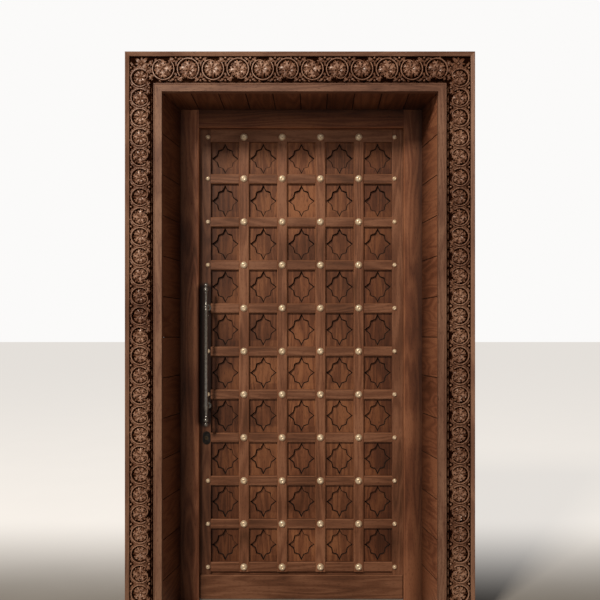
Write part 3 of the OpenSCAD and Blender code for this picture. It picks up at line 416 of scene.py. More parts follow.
# painted shade: these stops darken the wood towards the corner where linings, posts and head meet
corner = ((0.0, linear("8f857b")), (1.0, linear("ffffff")), (0.5, linear("d4cec8")))
lining_low, lining_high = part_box("lining_right")
deep = ("Y", lining_high.y, lining_low.y, corner)
clear_half, clear_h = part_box("post_right")[0].x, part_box("head")[0].z
beside = ("X", clear_half + POST_SHADE, clear_half + SHADE_START, corner)
above = ("Z", clear_h + HEAD_SHADE, clear_h + SHADE_START, corner)
bar_low, bar_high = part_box("pull_bar")
# painted shadow round the pull bar, on the lock stile and the left post
bar_shadow = ((bar_low.x + bar_high.x) / 2 - BAR_SHADOW_ASIDE, bar_low.z + BAR_SHADOW_FOOT, bar_high.z - BAR_SHADOW_TOP)
side_boards, soffit_boards = ("Z", SIDE_BOARD, 0.0), ("X", SOFFIT_BOARD, 0.0)

dress(hardwood("bead_upright", *BEAD, "Z"),
      "outer_bead_left", "outer_bead_right", "inner_bead_left", "inner_bead_right")
dress(hardwood("bead_level", *BEAD, "X"), "outer_bead_top", "inner_bead_top")
dress(hardwood("lining_side", *FRAME, "Y", shade=deep, board=side_boards, joint=SIDE_JOINT), "lining_left")
dress(hardwood("lining_lit", *LIT, "Y", shade=deep, board=side_boards, joint=SIDE_JOINT), "lining_right")
dress(hardwood("lining_soffit", *FRAME, "Y", shade=deep, board=soffit_boards, joint=SOFFIT_JOINT),
      "lining_soffit")
dress(hardwood("batten_rough_sawn", *SAWN, "Z", sheen=0.75, worn=0.0), "battens_left", "battens_right")
dress(hardwood("batten_rough_sawn_level", *SAWN, "X", sheen=0.75, worn=0.0), "battens_top")
dress(hardwood("post", *FRAME, "Z", shade=beside), "post_right")
dress(hardwood("post_lit", *LIT, "Z", shade=beside, bar_shadow=bar_shadow), "post_left")
dress(hardwood("head_beam", *HEAD, "X", shade=above), "head")
print("wood finishes of the frame:", len([m for m in bpy.data.materials if m.users]) - 1)

# %% [markdown]
# ## Woods of the leaf
# The bars of the lattice stand proud and are rubbed the palest, the rails and the kick board are darker,
# and the stile that carries the pull bar has the darkest tones, painted shade, and a painted shadow of the
# bar. Each column of panels comes from its own board, two of them a little paler, and the columns next to
# the stiles have a painted shade.

# %% Dress the leaf
BARS = ("593621", "7e5038", "9c6b4f")
RAILS = ("53321f", "764b34", "92644a")
KICK = ("4d2e1d", "6f4630", "8a5e45")
# darker tones for the stile beside the pull bar, painted shade
SHADED_STILE = ("452819", "633d2a", "7d543d")
PANEL, PANEL_PALE, PALE_COLUMNS = ("512d19", "73452c", "94603f"), ("56301a", "7a492f", "9d6643"), (3, 5)
BACK = ("5a3522", "7d4f36", "9a6a4b")
PANEL_ROW, BACK_BOARD, BACK_JOINT = 191.24 * MM, 160.6 * MM, 2 * MM
STILE_SHADE_FULL, STILE_SHADE_START = 400 * MM, 190 * MM
# painted shade on the columns of panels next to the stiles
stile_shade = ("X", STILE_SHADE_FULL, STILE_SHADE_START,
         ((0.0, linear("b4a9a0")), (1.0, linear("ffffff")), (0.5, linear("e2dbd5"))))

dress(hardwood("stile", *RAILS, "Z"), "hinge_stile")
dress(hardwood("stile_shaded", *SHADED_STILE, "Z", bar_shadow=bar_shadow), "lock_stile")
dress(hardwood("upright", *BARS, "Z"), *(f"upright_{k}" for k in range(1, 5)))
dress(hardwood("rail", *RAILS, "X"), "top_rail", "bottom_rail", *(f"crossbar_{k}" for k in range(1, 11)))
dress(hardwood("kick_board", *KICK, "X"), "kick_board")
for k in range(1, 6):
    tones = PANEL_PALE if k in PALE_COLUMNS else PANEL
    # seven rows on from one column to the next, so that each column draws other tones
    dress(hardwood(f"star_panel_{k}", *tones, "Z", worn=0.0, shade=stile_shade,
                   board=("Z", PANEL_ROW, -7 * k * PANEL_ROW)), f"star_panels_{k}")
dress(hardwood("back_board", *BACK, "Z", board=("X", BACK_BOARD, BACK_BOARD / 2), joint=BACK_JOINT),
      "back_boards")
print("wood finishes:", len([m for m in bpy.data.materials if m.users]) - 1)

# %% [markdown]
# ## Forged and cast metal
# The studs are cast brass, polished and then dulled by years of air: a pale cream gold with a browner
# bloom, which scatters as much light as it mirrors. The pull bar is iron with a black oil finish that
# hands have rubbed to a grey sheen, while its nuts and the keyhole plates kept their dull forge scale.
# Hinges, screws and the lock are plain rolled steel, and the cylinder that takes the key is dark bronze.

# %% Metal finish
BLOOM_W = 9 * MM


def metal(name, base, bloom, rough, metallic=1.0, grit=0.6):
    """A metal in two tones, in clouds, with a grain of a size in millimetres."""
    made = bpy.data.materials.new(name)
    made.use_nodes = True
    tree = made.node_tree
    shader = tree.nodes["Principled BSDF"]
    shader.inputs["Metallic"].default_value = metallic
    place = add(tree, "TexCoord")
    cloud = add(tree, "TexNoise", {}, {"Vector": place.outputs["Object"], "Scale": 1 / BLOOM_W,
                                       "Detail": 4.0})
    tone = add(tree, "ValToRGB", {}, {"Fac": cloud.outputs["Fac"]},
               [(0.38, linear(bloom)), (0.62, linear(base))])
    tree.links.new(tone.outputs[0], shader.inputs["Base Color"])
    dull = add(tree, "MapRange", {}, {"Value": cloud.outputs["Fac"], "From Min": 0.3, "From Max": 0.7,
                                      "To Min": rough + 0.08, "To Max": rough - 0.05})
    tree.links.new(dull.outputs[0], shader.inputs["Roughness"])
    sand = add(tree, "TexNoise", {}, {"Vector": place.outputs["Object"], "Scale": 1 / (grit * MM)})
    bump = add(tree, "Bump", {}, {"Height": sand.outputs["Fac"], "Strength": 0.12,
                                  "Distance": 0.1 * MM})
    tree.links.new(bump.outputs[0], shader.inputs["Normal"])
    return made


brass = metal("aged_cast_brass", "fae6ca", "ebd2ae", 0.3, metallic=0.35)
black_iron = metal("oil_blackened_iron", "9d9a96", "827f7c", 0.2, metallic=0.72, grit=1.2)
scale = metal("iron_with_forge_scale", "3a3836", "2a2827", 0.42, grit=1.2)
steel = metal("rolled_steel", "8d8a86", "6f6c69", 0.42)
bronze = metal("dark_bronze", "5a4d3c", "413830", 0.36)
dress(steel, "strike_plate", "hinge_leaves_fixed", "hinge_leaves_moving", "hinge_pins", "frame_screws",
      "leaf_screws", "lock_case", "lock_forend", "lock_bolt")
dress(bronze, "lock_cylinder", "key_plug")
dress(scale, "escutcheons", "handle_nuts")
print("finishes:", len(bpy.data.materials))

# %% [markdown]
# ## Tools for small forms
# A modelled piece is a bmesh that starts from a few points or a plain shape and is worked by operators.
# Three small tools do most of it: one sweeps a section round an arc, one turns a profile as on a lathe,
# and one lays a finished small form into a bigger piece, turned or mirrored to its place. Forms are drawn
# in millimetres and come to metres when they are laid in place.


# %% Small forms
def turn(angle, axis="Z"):
    """A turn in degrees."""
    return Matrix.Rotation(math.radians(angle), 4, axis)


def move(x, y, z=0.0):
    """A move, in the units of what is moved."""
    return Matrix.Translation((x, y, z))


def small_form(bm):
    """A mesh to lay into other pieces, with its doubles merged and its faces turned outwards."""
    bmesh.ops.remove_doubles(bm, verts=bm.verts, dist=1e-7)
    bmesh.ops.recalc_face_normals(bm, faces=bm.faces)
    made = bpy.data.meshes.new("form")
    bm.to_mesh(made)
    bm.free()
    return made


def lay(bm, form, matrix):
    """Adds a copy of a small form to a bigger piece."""
    copy = form.copy()
    copy.transform(matrix)
    if matrix.determinant() < 0:
        copy.flip_normals()
    bm.from_mesh(copy)
    bpy.data.meshes.remove(copy)


def swept(section, radius, start, end, steps):
    """A section of (offset, height) points swept round the z axis from one angle to another."""
    bm = bmesh.new()
    loop = [bm.verts.new((radius + x, 0.0, h)) for x, h in section]
    edges = [bm.edges.new(pair) for pair in zip(loop, loop[1:] + loop[:1])]
    bmesh.ops.rotate(bm, verts=loop, matrix=Matrix.Rotation(math.radians(start), 3, "Z"))
    bmesh.ops.spin(bm, geom=loop + edges, cent=(0, 0, 0), axis=(0, 0, 1), dvec=(0, 0, 0),
                   angle=math.radians(end - start), steps=steps, use_merge=False, use_duplicate=False)
    bmesh.ops.holes_fill(bm, edges=[e for e in bm.edges if e.is_boundary], sides=0)
    return small_form(bm)


def turned(profile, steps):
    """A lathe form about the z axis from (radius, height) points that start and end on the axis."""
    bm = bmesh.new()
    line = [bm.verts.new((r, 0.0, h)) for r, h in profile]
    edges = [bm.edges.new(pair) for pair in zip(line, line[1:])]
    bmesh.ops.spin(bm, geom=line + edges, cent=(0, 0, 0), axis=(0, 0, 1), dvec=(0, 0, 0),
                   angle=2 * math.pi, steps=steps, use_merge=True, use_duplicate=False)
    return small_form(bm)


# %% [markdown]
# ## From a form to a piece
# A finished piece is smooth except where its faces meet at more than a chamfer's angle. It rides on the
# body that carries it and stands for the solids that it replaces.

# %% Finished pieces
SHARP = math.radians(50.0)


def piece(name, bm, material, body, slot, *replaced):
    """Makes the object, lets it ride on its body and stand for its solids."""
    mesh = bpy.data.meshes.new(name)
    bm.to_mesh(mesh)
    bm.free()
    mesh.materials.append(material)
    mesh.polygons.foreach_set("use_smooth", [True] * len(mesh.polygons))
    mesh.set_sharp_from_angle(angle=SHARP)
    made = bpy.data.objects.new(name, mesh)
    scene.collection.objects.link(made)
    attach(made, body)
    if replaced:
        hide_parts(*replaced)
    mesh.calc_loop_triangles()
    print(name, "triangles:", len(mesh.loop_triangles))


# %% [markdown]
# ## Carved vine: leaf, vine and flower
# The band is carved in one depth: a vine coils into rings, each ring curls inwards round a flower, and
# leaves and beads fill every hollow, so that only thin lines of the black ground are left. A leaf is a
# sphere with its poles laid along the leaf, drawn out to a point and pressed in along its midrib.
# Hundreds of leaves are laid, so each has only a few dozen faces.


# %% Leaf forms
def leaf(length, width, height, rib=0.66, droop=0.35, taper=0.55, bend=0.0, sides=8, rows=7):
    """A leaf from the origin along +x with its midrib pressed in, in millimetres."""
    bm = bmesh.new()
    bmesh.ops.create_uvsphere(bm, u_segments=sides, v_segments=rows, radius=1.0)
    bmesh.ops.rotate(bm, verts=bm.verts, matrix=Matrix.Rotation(math.pi / 2, 3, "Y"))
    for v in bm.verts:
        along = (v.co.x + 1) / 2
        point = 1 - taper * along ** 2
        pressed = rib if abs(v.co.y) < 0.01 and v.co.z > 0 else 1.0
        v.co = Vector((length * along, width / 2 * v.co.y * point + bend * along ** 2,
                       height * v.co.z * pressed * (1 - droop * along)))
    return small_form(bm)


def bead(radius, height):
    """A low round bead."""
    bm = bmesh.new()
    bmesh.ops.create_uvsphere(bm, u_segments=10, v_segments=6, radius=1.0)
    bmesh.ops.scale(bm, verts=bm.verts, vec=(radius, radius, height))
    return small_form(bm)


VINE = ((-2.4, -1.0), (-2.9, 5.0), (-2.2, 9.8), (-0.9, 11.4), (0.9, 11.4), (2.2, 9.8), (2.9, 5.0),
        (2.4, -1.0))
CURL = [(0.85 * x, 0.75 * h) for x, h in VINE]
PETAL_L, PETAL_W = 20.0, 12.0
broad_leaf = leaf(20.0, 13.0, 11.0)
slim_leaf = leaf(16.0, 9.0, 10.0)
sepal = leaf(PETAL_L, PETAL_W, 7.5, rib=0.7, droop=0.1, taper=0.3, bend=5.0)
heart = leaf(9.0, 5.5, 13.5, rib=0.8, droop=0.3)
hub, pearl, seed = bead(3.6, 14.0), bead(5.4, 12.0), bead(3.4, 11.0)
print("leaf and bead faces:", len(broad_leaf.polygons), len(pearl.polygons))

# %% [markdown]
# ## Lobed leaf and petal
# Wherever the vine ends or branches it throws out a leaf of five lobes, the carver's stock leaf: a long
# middle lobe with two pairs that lean away from it. It is laid together from single leaves. A petal is the
# same leaf in small, bent to one side, with blunter lobes that catch a point of light each.

# %% Lobed leaf and petal forms
lobed_bm = bmesh.new()
lay(lobed_bm, leaf(23.0, 11.0, 12.0), Matrix())
for side in (-1, 1):
    lay(lobed_bm, leaf(17.0, 9.5, 10.5), move(2.5, 2.0 * side) @ turn(38.0 * side))
    lay(lobed_bm, leaf(12.0, 8.5, 9.5), move(0.5, 3.0 * side) @ turn(80.0 * side))
lobed_leaf = small_form(lobed_bm)

petal_bm = bmesh.new()
lay(petal_bm, leaf(PETAL_L, 7.0, 13.0, rib=0.8, droop=0.05, taper=0.1, bend=4.5, sides=6, rows=6),
    Matrix())
for side in (-1, 1):
    lay(petal_bm, leaf(9.0, 5.5, 11.5, rib=1.0, droop=0.05, taper=0.0, sides=6, rows=4),
        move(5.0, 0.5) @ turn(36.0 * side))
    lay(petal_bm, leaf(8.0, 5.2, 12.0, rib=1.0, droop=0.05, taper=0.0, sides=6, rows=4),
        move(11.5, 1.8) @ turn(44.0 * side + 8.0))
petal = small_form(petal_bm)
print("lobed leaf and petal faces:", len(lobed_leaf.polygons), len(petal.polygons))

# %% [markdown]
# ## The flower
# A full flower fills each ring of the vine: low sepals that touch the vine, petals over their gaps that
# stop a little short of it, so each has its own length, and a small heart of leaves round a hub. A carver
# doesn't repeat one flower all the way, so three kinds take turns: plain petals, a whorl of slanted
# petals, and petals with a seed between them.

# %% Flower
# the number of petals of each kind of flower and their slant
FLOWERS = {"petals": (6, -8.0), "whorl": (7, 14.0), "seeds": (5, -14.0)}
HUB_GAP, HEART_LEAVES = 1.0, 4


def flower(bm, x, y, kind, wall):
    """Sepals and petals from a middle out to a round wall about the origin."""
    count, slant = FLOWERS[kind]
    for layer, form, share, fat in ((0.5, sepal, 1.0, 1.0), (0.0, petal, 0.95, 1.25)):
        for k in range(count):
            # no two petals are cut quite alike
            angle = 360.0 * (k + 0.3 + layer) / count + 9.0 * math.sin(5.0 * k + count)
            rise = 1.0 + 0.12 * math.sin(3.0 * k)
            a = math.radians(angle)
            along = x * math.cos(a) + y * math.sin(a)
            length = share * (math.sqrt(along ** 2 - x ** 2 - y ** 2 + wall ** 2) - along)
            width = fat * length * math.sin(math.pi / count)
            spoke = move(x, y) @ turn(angle)
            lay(bm, form, spoke @ move(HUB_GAP, 0.0) @ turn(slant) @ Matrix.Diagonal(
                ((length - HUB_GAP) / PETAL_L, width / PETAL_W, rise, 1.0)))
            if kind == "seeds" and layer:
                lay(bm, seed, spoke @ move(0.8 * length, 0.0))
    for k in range(HEART_LEAVES):
        lay(bm, heart, move(x, y) @ turn(360.0 * k / HEART_LEAVES + 20.0) @ move(1.5, 0.0))
    lay(bm, hub, move(x, y))


print("kinds of flower:", list(FLOWERS))

# %% [markdown]
# ## One ring of the vine
# The ring opens towards the door, and its lower end turns in and curls. Its upper end runs out in a lobed
# leaf, and slim leaves lean off its back. The middle of the flower lies a third of the way to the eye of
# the curl. The rings of the top band are larger, with the same leaves.

# %% Ring
RING_TURN, CURL_TURN = 130.0, 165.0
EYE_SHARE, UNDER_VINE = 0.35, 1.8
SIDE_R, SIDE_CURL, TOP_R, TOP_CURL = 36.0, 21.7, 43.5, 26.0


def ring(radius, curl, kind):
    """A ring of vine about the origin with its curl, its flower and its leaves."""
    bm = bmesh.new()
    lay(bm, swept(VINE, radius, -RING_TURN, RING_TURN, 36), Matrix())
    eye = turn(-RING_TURN) @ move(radius - curl, 0.0)
    lay(bm, swept(CURL, curl, -CURL_TURN, 0.0, 20), eye)
    flower(bm, *(EYE_SHARE * eye.translation)[:2], kind, radius - UNDER_VINE)
    lay(bm, lobed_leaf, turn(RING_TURN) @ move(radius, 0.0) @ turn(72.0))
    lay(bm, broad_leaf, turn(-RING_TURN) @ move(radius, 0.0) @ turn(-60.0))
    for angle in (-66.0, -24.0, 20.0, 62.0):
        lay(bm, slim_leaf, turn(angle) @ move(radius + 2.0, 0.0) @ turn(62.0))
    return small_form(bm)


side_rings = {kind: ring(SIDE_R, SIDE_CURL, kind) for kind in FLOWERS}
top_rings = {kind: ring(TOP_R, TOP_CURL, kind) for kind in FLOWERS}
print("ring faces:", {kind: len(form.polygons) for kind, form in side_rings.items()})

# %% [markdown]
# ## Fillings between the rings
# Where two rings meet, a fan of leaves and a bead fill the hollow on either side. In the corners over the
# side bands four broad leaves cross round a bead above the last ring, with slimmer ones between them, and
# three lobed leaves close each end of the top row.

# %% Filling forms
long_leaf = leaf(30.0, 9.0, 11.0)
fill_bm = bmesh.new()
for side in (-1, 1):
    lay(fill_bm, slim_leaf, turn(32.0 * side) @ move(3.0, 0.0))
    lay(fill_bm, broad_leaf, move(13.0, 5.0 * side) @ turn(66.0 * side))
    lay(fill_bm, slim_leaf, move(20.0, 12.0 * side) @ turn(80.0 * side))
lay(fill_bm, long_leaf, move(-14.0, 0.0))
lay(fill_bm, pearl, move(21.5, 0.0))
fill_form = small_form(fill_bm)

# three leaves side by side, the outer ones leaning outwards
end_bm = bmesh.new()
for x in (-34.0, -4.0, 26.0):
    lay(end_bm, lobed_leaf, move(x, 8.0) @ turn(-90.0 - 0.5 * x))
end_form = small_form(end_bm)

fan_leaf, between_leaf = leaf(34.0, 21.0, 11.5), leaf(26.0, 12.0, 10.0)
fan_bm = bmesh.new()
for angle in (0.0, 90.0, 180.0, 270.0):
    lay(fan_bm, fan_leaf, turn(angle + 42.0) @ move(2.0, 0.0))
    lay(fan_bm, between_leaf, turn(angle) @ move(6.0, 0.0))
lay(fan_bm, bead(5.5, 12.5), Matrix())
fan_form = small_form(fan_bm)
print("filling faces:", len(fill_form.polygons), len(fan_form.polygons))

# %% [markdown]
# ## Ground and finish of the bands
# The carving stands on a board. The finish darkens with depth to almost black on the ground, partly a dark
# stain left in the hollows and partly painted shade, and only the tops have a polish. The board is a cube
# with its edges just broken, in the box that the solid gives.

# %% Ground of the bands
STEM_H, BROKEN_EDGE = 10.0, 0.6 * MM
GROUND_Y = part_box("carved_band_right")[0].y + STEM_H * MM
CARVED, CARVED_TOP = ("735040", "996f59", "b99078"), ("7c5745", "a47962", "c49c85")
# darker with depth: a dark stain in the hollows and painted shade
hollows = ((0.0, linear("35271d")), (1.0, linear("ffffff")), (0.3, linear("7b6658")),
           (0.65, linear("dbd1c8")))
stain_and_shade = ("Y", GROUND_Y, GROUND_Y - 1.1 * STEM_H * MM, hollows)
carved_upright = hardwood("carved_upright", *CARVED, "Z", sheen=0.34, worn=0.0, shade=stain_and_shade, polish=0.6)
carved_level = hardwood("carved_level", *CARVED_TOP, "X", sheen=0.34, worn=0.0, shade=stain_and_shade, polish=0.6)


def ground(bm, low, high):
    """The board behind the carving, from the ground to the back of its solid."""
    first = Vector((low.x, GROUND_Y, low.z))
    made = bmesh.ops.create_cube(bm, size=1.0)["verts"]
    bmesh.ops.scale(bm, verts=made, vec=high - first)
    bmesh.ops.translate(bm, verts=made, vec=(first + high) / 2)
    edges = {e for v in made for e in v.link_edges}
    bmesh.ops.bevel(bm, geom=list(edges), offset=BROKEN_EDGE, segments=1, profile=0.5, affect="EDGES",
                    material=-1)


print("ground at y:", round(GROUND_Y, 4))

# %% [markdown]
# ## Rows of rings
# The rings are laid along a board in the places that the solids give: mirrored from ring to ring on the
# sides, turned half round on the top, where the vine runs as a wave. At every meeting of two rings a
# filling goes in from both edges of the band.

# %% Rows
FLOWER_ORDER = ("petals", "whorl", "seeds", "whorl", "petals", "seeds")
FILL_REACH = 28.5


def facing(x, z):
    """Turns forms drawn in x and y so that their height faces the viewer, from millimetres to metres."""
    return move(x, GROUND_Y, z) @ turn(90, "X") @ Matrix.Scale(MM, 4)


def mirrored(axis, side=-1):
    """A mirror across an axis, or no change for side 1."""
    return Matrix.Scale(side, 4, axis)


def row(bm, start, rings, count, pitch, room, wave):
    """Rings along the start matrix's y axis, with fillings on both sides of every meeting."""
    for k in range(count):
        middle = start @ move(0.0, (k + 0.5) * pitch)
        other = turn(180.0) if wave else mirrored((0, 1, 0))
        lay(bm, rings[FLOWER_ORDER[k % len(FLOWER_ORDER)]], middle @ (other if k % 2 else Matrix()))
    for k in range(1, count if wave else count + 1):
        meeting = start @ move(0.0, k * pitch)
        for half in (0.0, 180.0):
            lay(bm, fill_form, meeting @ turn(half) @ move(room / 2 - FILL_REACH, 0.0))


border_leaf = leaf(38.0, 4.6, 12.0, rib=1.0, droop=0.1)
print("border leaf faces:", len(border_leaf.polygons))

# %% [markdown]
# ## The side bands
# The column of rings runs a little past the foot of the top band, and a fan of leaves fills the corner
# above it. Along the edge towards the door runs a narrow border, cut as one long leaf after another. The
# left band is the right one mirrored.

# %% Lay the side bands
SIDE_RINGS, SIDE_SHIFT = 28, 6.0
COLUMN_PAST, FAN_DOWN = 64 * MM, 31 * MM
BORDER_PITCH, BORDER_START, BORDER_IN = 37.0, 2.0, 8.0
band_low_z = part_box("carved_band_top")[0].z
side_pitch = (band_low_z + COLUMN_PAST) / MM / SIDE_RINGS

for side, name in ((1, "right"), (-1, "left")):
    low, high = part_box(f"carved_band_{name}")
    bm = bmesh.new()
    ground(bm, low, high)
    start = facing((low.x + high.x) / 2, low.z) @ mirrored((1, 0, 0), side)
    band_w = (high.x - low.x) / MM
    row(bm, start @ move(SIDE_SHIFT, 0.0), side_rings, SIDE_RINGS, side_pitch, band_w - 2 * SIDE_SHIFT, False)
    lay(bm, fan_form, start @ move(0.0, (high.z - FAN_DOWN) / MM))
    for k in range(int(band_low_z / MM / BORDER_PITCH)):
        foot = move(BORDER_IN - band_w / 2, BORDER_PITCH * k + BORDER_START)
        lay(bm, border_leaf, start @ foot @ turn(90.0))
    piece(f"carving_{name}", bm, carved_upright, "frame", "carved_wood", f"carved_band_{name}")

# %% [markdown]
# ## The top band
# The row of the top reaches a little over the corners at both ends, where three lobed leaves close it. The
# border runs along its lower edge.

# %% Lay the top band
TOP_RINGS, TOP_SHIFT, TOP_REACH = 12, 3.0, 12.0
TOP_BORDER_START, TOP_BORDER_UP = 3.0, 5.0
low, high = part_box("carved_band_top")
bm = bmesh.new()
ground(bm, low, high)
band_l, band_h = (high.x - low.x) / MM, (high.z - low.z) / MM
row_l = band_l + 2 * TOP_REACH
start = facing(high.x + TOP_REACH * MM, (low.z + high.z) / 2 + TOP_SHIFT * MM) @ turn(90.0)
row(bm, start, top_rings, TOP_RINGS, row_l / TOP_RINGS, band_h - 2 * TOP_SHIFT, True)
lay(bm, end_form, start)
lay(bm, end_form, start @ move(0.0, row_l) @ mirrored((0, 1, 0)))
for k in range(int(band_l / BORDER_PITCH)):
    lay(bm, border_leaf, facing(low.x, low.z) @ move(BORDER_PITCH * k + TOP_BORDER_START, TOP_BORDER_UP))
piece("carving_top", bm, carved_level, "frame", "carved_wood", "carved_band_top")

# %% [markdown]
# ## Brass studs
# Each stud is a turned dome with a dimple in its top, on a shank that goes into the crossing of two bars.
# The solid has a plain dome. A lathe profile adds the rolled lip round the dimple that catches the light.

# %% Turn the studs
# shares of the radius and of the height, from the dimple over the lip to the foot of the dome
DOME = ((0.0, 0.76), (0.13, 0.79), (0.22, 0.9), (0.3, 0.985), (0.38, 1.0), (0.52, 0.95), (0.68, 0.81),
        (0.82, 0.6), (0.93, 0.34), (0.99, 0.1), (1.0, 0.0))
SHANK = [(3.0, 0.0), (3.0, -24.0), (0.0, -24.0)]
STUD_STEPS = 24


def stud(radius, height):
    """A turned stud in millimetres, from the dimple over the dome to the end of the shank."""
    return turned([(radius * r, height * h) for r, h in DOME] + SHANK, STUD_STEPS)


def middles(name):
    """The middle of each separate solid of a node, found by walking along its edges."""
    bm = bmesh.new()
    bm.from_mesh(nodes[name].data)
    bmesh.ops.remove_doubles(bm, verts=bm.verts, dist=1e-6)
    left, found = set(bm.verts), []
    while left:
        group, edge = [], [left.pop()]
        while edge:
            v = edge.pop()
            group.append(v.co)
            near = {e.other_vert(v) for e in v.link_edges} & left
            left -= near
            edge.extend(near)
        found.append([(min(c[i] for c in group) + max(c[i] for c in group)) / 2 for i in range(3)])
    bm.free()
    return sorted(found)


leaf_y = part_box("lock_stile")[0].y
for name, form in (("brass_studs", stud(15.9, 10.0)), ("edge_studs", stud(10.0, 8.0))):
    bm = bmesh.new()
    for x, _, z in middles(name):
        lay(bm, form, move(x, leaf_y, z) @ turn(90, "X") @ Matrix.Scale(MM, 4))
    piece(f"turned_{name}", bm, brass, "leaf", "stud_brass", name)

# %% [markdown]
# ## Outlines of the stars
# The outline of each star is read off the solid: its points are the ones that lie on the floor of the
# cut, the second depth of the panel's points from the front, sorted by their angle round the middle of
# the panel.


# %% Read the stars
def star_floors(name):
    """The floor's height and, for each panel of a node, the star's outline as x and z."""
    points = nodes[name].data.vertices
    floor_y = sorted({round(v.co.y, 4) for v in points})[1]
    stars = {(x, z): set() for x, _, z in middles(name)}
    for v in points:
        if abs(v.co.y - floor_y) < 0.1 * MM:
            near = min(stars, key=lambda m: (m[0] - v.co.x) ** 2 + (m[1] - v.co.z) ** 2)
            stars[near].add((round(v.co.x, 5), round(v.co.z, 5)))
    return floor_y, [sorted(found, key=lambda p: math.atan2(p[1] - m[1], p[0] - m[0]))
                     for m, found in stars.items()]


columns = [star_floors(f"star_panels_{k}") for k in range(1, 6)]
print("stars:", sum(len(stars) for _, stars in columns), "points of one:", len(columns[0][1][0]))

# %% [markdown]
# ## Painted shade in the star cuts
# Where the floor of each star meets its walls, a thin wedge of matt brown black is laid as painted shade,
# which draws the whole outline of the star. A section of three corners goes round the outline, its corners
# mitred, and the wedge is closed to a ring.

# %% Lay the painted shade
SHADE_WEDGE_W, SHADE_WEDGE_H, EMBED = 5.4, 1.8, 0.3
# the section's corners: how far from the wall, and how deep in the floor
SHADE_WEDGE = ((-EMBED, EMBED), (-EMBED, -SHADE_WEDGE_H), (SHADE_WEDGE_W, EMBED))
MITRE_LIMIT = 0.45
# a dark wedge that stands in for the shade at the foot of the star walls
shade_wedge = hardwood("painted_shade_in_star_cuts", "170d08", "20130b", "2a1a10", "Z", sheen=0.85, worn=0.0)


def wedge(bm, outline, floor_y):
    """A wedge against the wall all round one outline, its foot just inside the solid."""
    loops = []
    for k, here in enumerate(outline):
        here, before, after = (Vector(p) for p in (here, outline[k - 1], outline[(k + 1) % len(outline)]))
        along, on = (here - before).normalized(), (after - here).normalized()
        inwards = Vector((-along.y - on.y, along.x + on.x)).normalized()
        share = MM / max(inwards.dot(Vector((-along.y, along.x))), MITRE_LIMIT)
        corners = [(here + inwards * share * w, h) for w, h in SHADE_WEDGE]
        loops.append([bm.verts.new((p.x, floor_y + h * MM, p.y)) for p, h in corners])
    for one, two in zip(loops, loops[1:] + loops[:1]):
        for j in range(len(SHADE_WEDGE)):
            bm.faces.new((one[j], one[j - 1], two[j - 1], two[j]))


bm = bmesh.new()
for floor_y, stars in columns:
    for outline in stars:
        wedge(bm, outline, floor_y)
bmesh.ops.recalc_face_normals(bm, faces=bm.faces)
piece("star_shade_wedge", bm, shade_wedge, "leaf", "panel_wood")

# %% [markdown]
# ## Pull bar
# The bar was turned from one iron rod. It is straight between its posts, swells to a vase round the lower
# one, and narrows to a neck with two balls at both ends. The profile is drawn once as a list of radii and
# heights from the lower end, with small rings where the turner's tool changed direction.


# %% Turn the pull bar
def ball(radius, height, first, last, steps=8):
    """Points on a ball of the profile between two angles from its equator."""
    angles = [math.radians(first + (last - first) * k / steps) for k in range(steps + 1)]
    return [(radius * math.cos(a), height + radius * math.sin(a)) for a in angles]


HANDLE_L = (bar_high.z - bar_low.z) / MM
BAR_R, NECK_R, COLLAR_R, BALL_R, TIP_R = 8.2, 6.0, 11.0, 11.4, 9.6
BALL_IN, LOWER_POST, UPPER_POST = 29.5, 88.0, HANDLE_L - 105.0
handle_x, handle_y = (bar_low.x + bar_high.x) / 2, bar_low.y + COLLAR_R * MM

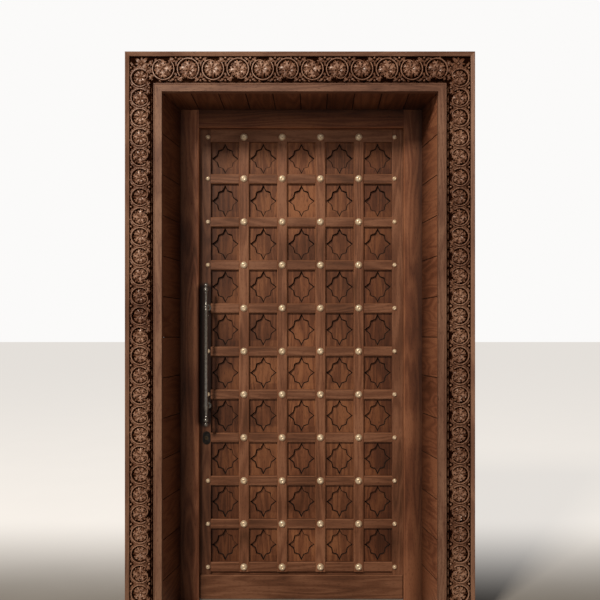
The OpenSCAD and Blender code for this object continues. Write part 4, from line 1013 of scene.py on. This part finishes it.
finial = [(0.0, 0.0)] + ball(TIP_R, TIP_R, -80, 58) + ball(BALL_R, BALL_IN, -62, 61)
profile = finial + [
    (7.4, 40.5), (7.9, 42.0), (7.4, 43.5), (NECK_R, 45.0), (NECK_R, 56.0), (6.8, 64.0), (8.2, 73.0),
    (9.8, 81.0), (COLLAR_R, LOWER_POST), (10.5, 95.0), (9.4, 104.0), (8.6, 113.0), (BAR_R, 120.0),
    (BAR_R, UPPER_POST - 16.0), (9.4, UPPER_POST - 14.0), (9.4, UPPER_POST - 11.5)]
profile += ball(COLLAR_R, UPPER_POST, -42, 52) + [
    (7.2, UPPER_POST + 10.5), (7.2, UPPER_POST + 13.0), (NECK_R, UPPER_POST + 15.0),
    (NECK_R, HANDLE_L - 45.0), (7.4, HANDLE_L - 43.5), (7.9, HANDLE_L - 42.0), (7.4, HANDLE_L - 40.5)]
profile += [(r, HANDLE_L - h) for r, h in reversed(finial)]

# a boss on the back of the bar takes each post
BAR_STEPS, POST_STEPS = 28, 24
boss = turned([(0.0, 0.0), (7.6, 0.0), (7.6, 9.5), (6.6, 11.0), (7.0, 13.0), (0.0, 13.0)], POST_STEPS)
bm = bmesh.new()
axis = move(handle_x, handle_y, bar_low.z) @ Matrix.Scale(MM, 4)
posts = [axis @ move(0.0, 0.0, height) @ turn(-90, "X") for height in (LOWER_POST, UPPER_POST)]
lay(bm, turned(profile, BAR_STEPS), axis)
for post in posts:
    lay(bm, boss, post)
piece("turned_pull_bar", bm, black_iron, "leaf", "black_iron", "pull_bar")

# %% [markdown]
# ## Posts of the pull bar
# Each post is turned as well: a stem with a ring in its middle, a domed rose that sits on the stile, and
# a tail that goes through the leaf to its nut.

# %% Turn the posts
POST_L, ROSE_R, STEM_R, TAIL_R = (leaf_y - handle_y) / MM, 15.0, 6.0, 4.0
TAIL_END = (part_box("handle_posts")[1].y - handle_y) / MM
post_profile = [
    (0.0, 4.0), (TAIL_R, 4.0), (TAIL_R, 13.0), (STEM_R, 13.0), (STEM_R, 30.0), (7.4, 32.0), (7.4, 35.0),
    (STEM_R, 37.0), (STEM_R, 50.0), (7.0, POST_L - 5.5), (9.0, POST_L - 4.6), (12.5, POST_L - 3.4),
    (14.4, POST_L - 2.0), (ROSE_R, POST_L - 0.8), (ROSE_R, POST_L), (TAIL_R, POST_L),
    (TAIL_R, TAIL_END - 0.8), (TAIL_R - 0.8, TAIL_END), (0.0, TAIL_END)]
bm = bmesh.new()
for post in posts:
    lay(bm, turned(post_profile, POST_STEPS), post)
piece("turned_handle_posts", bm, black_iron, "leaf", "black_iron", "handle_posts")
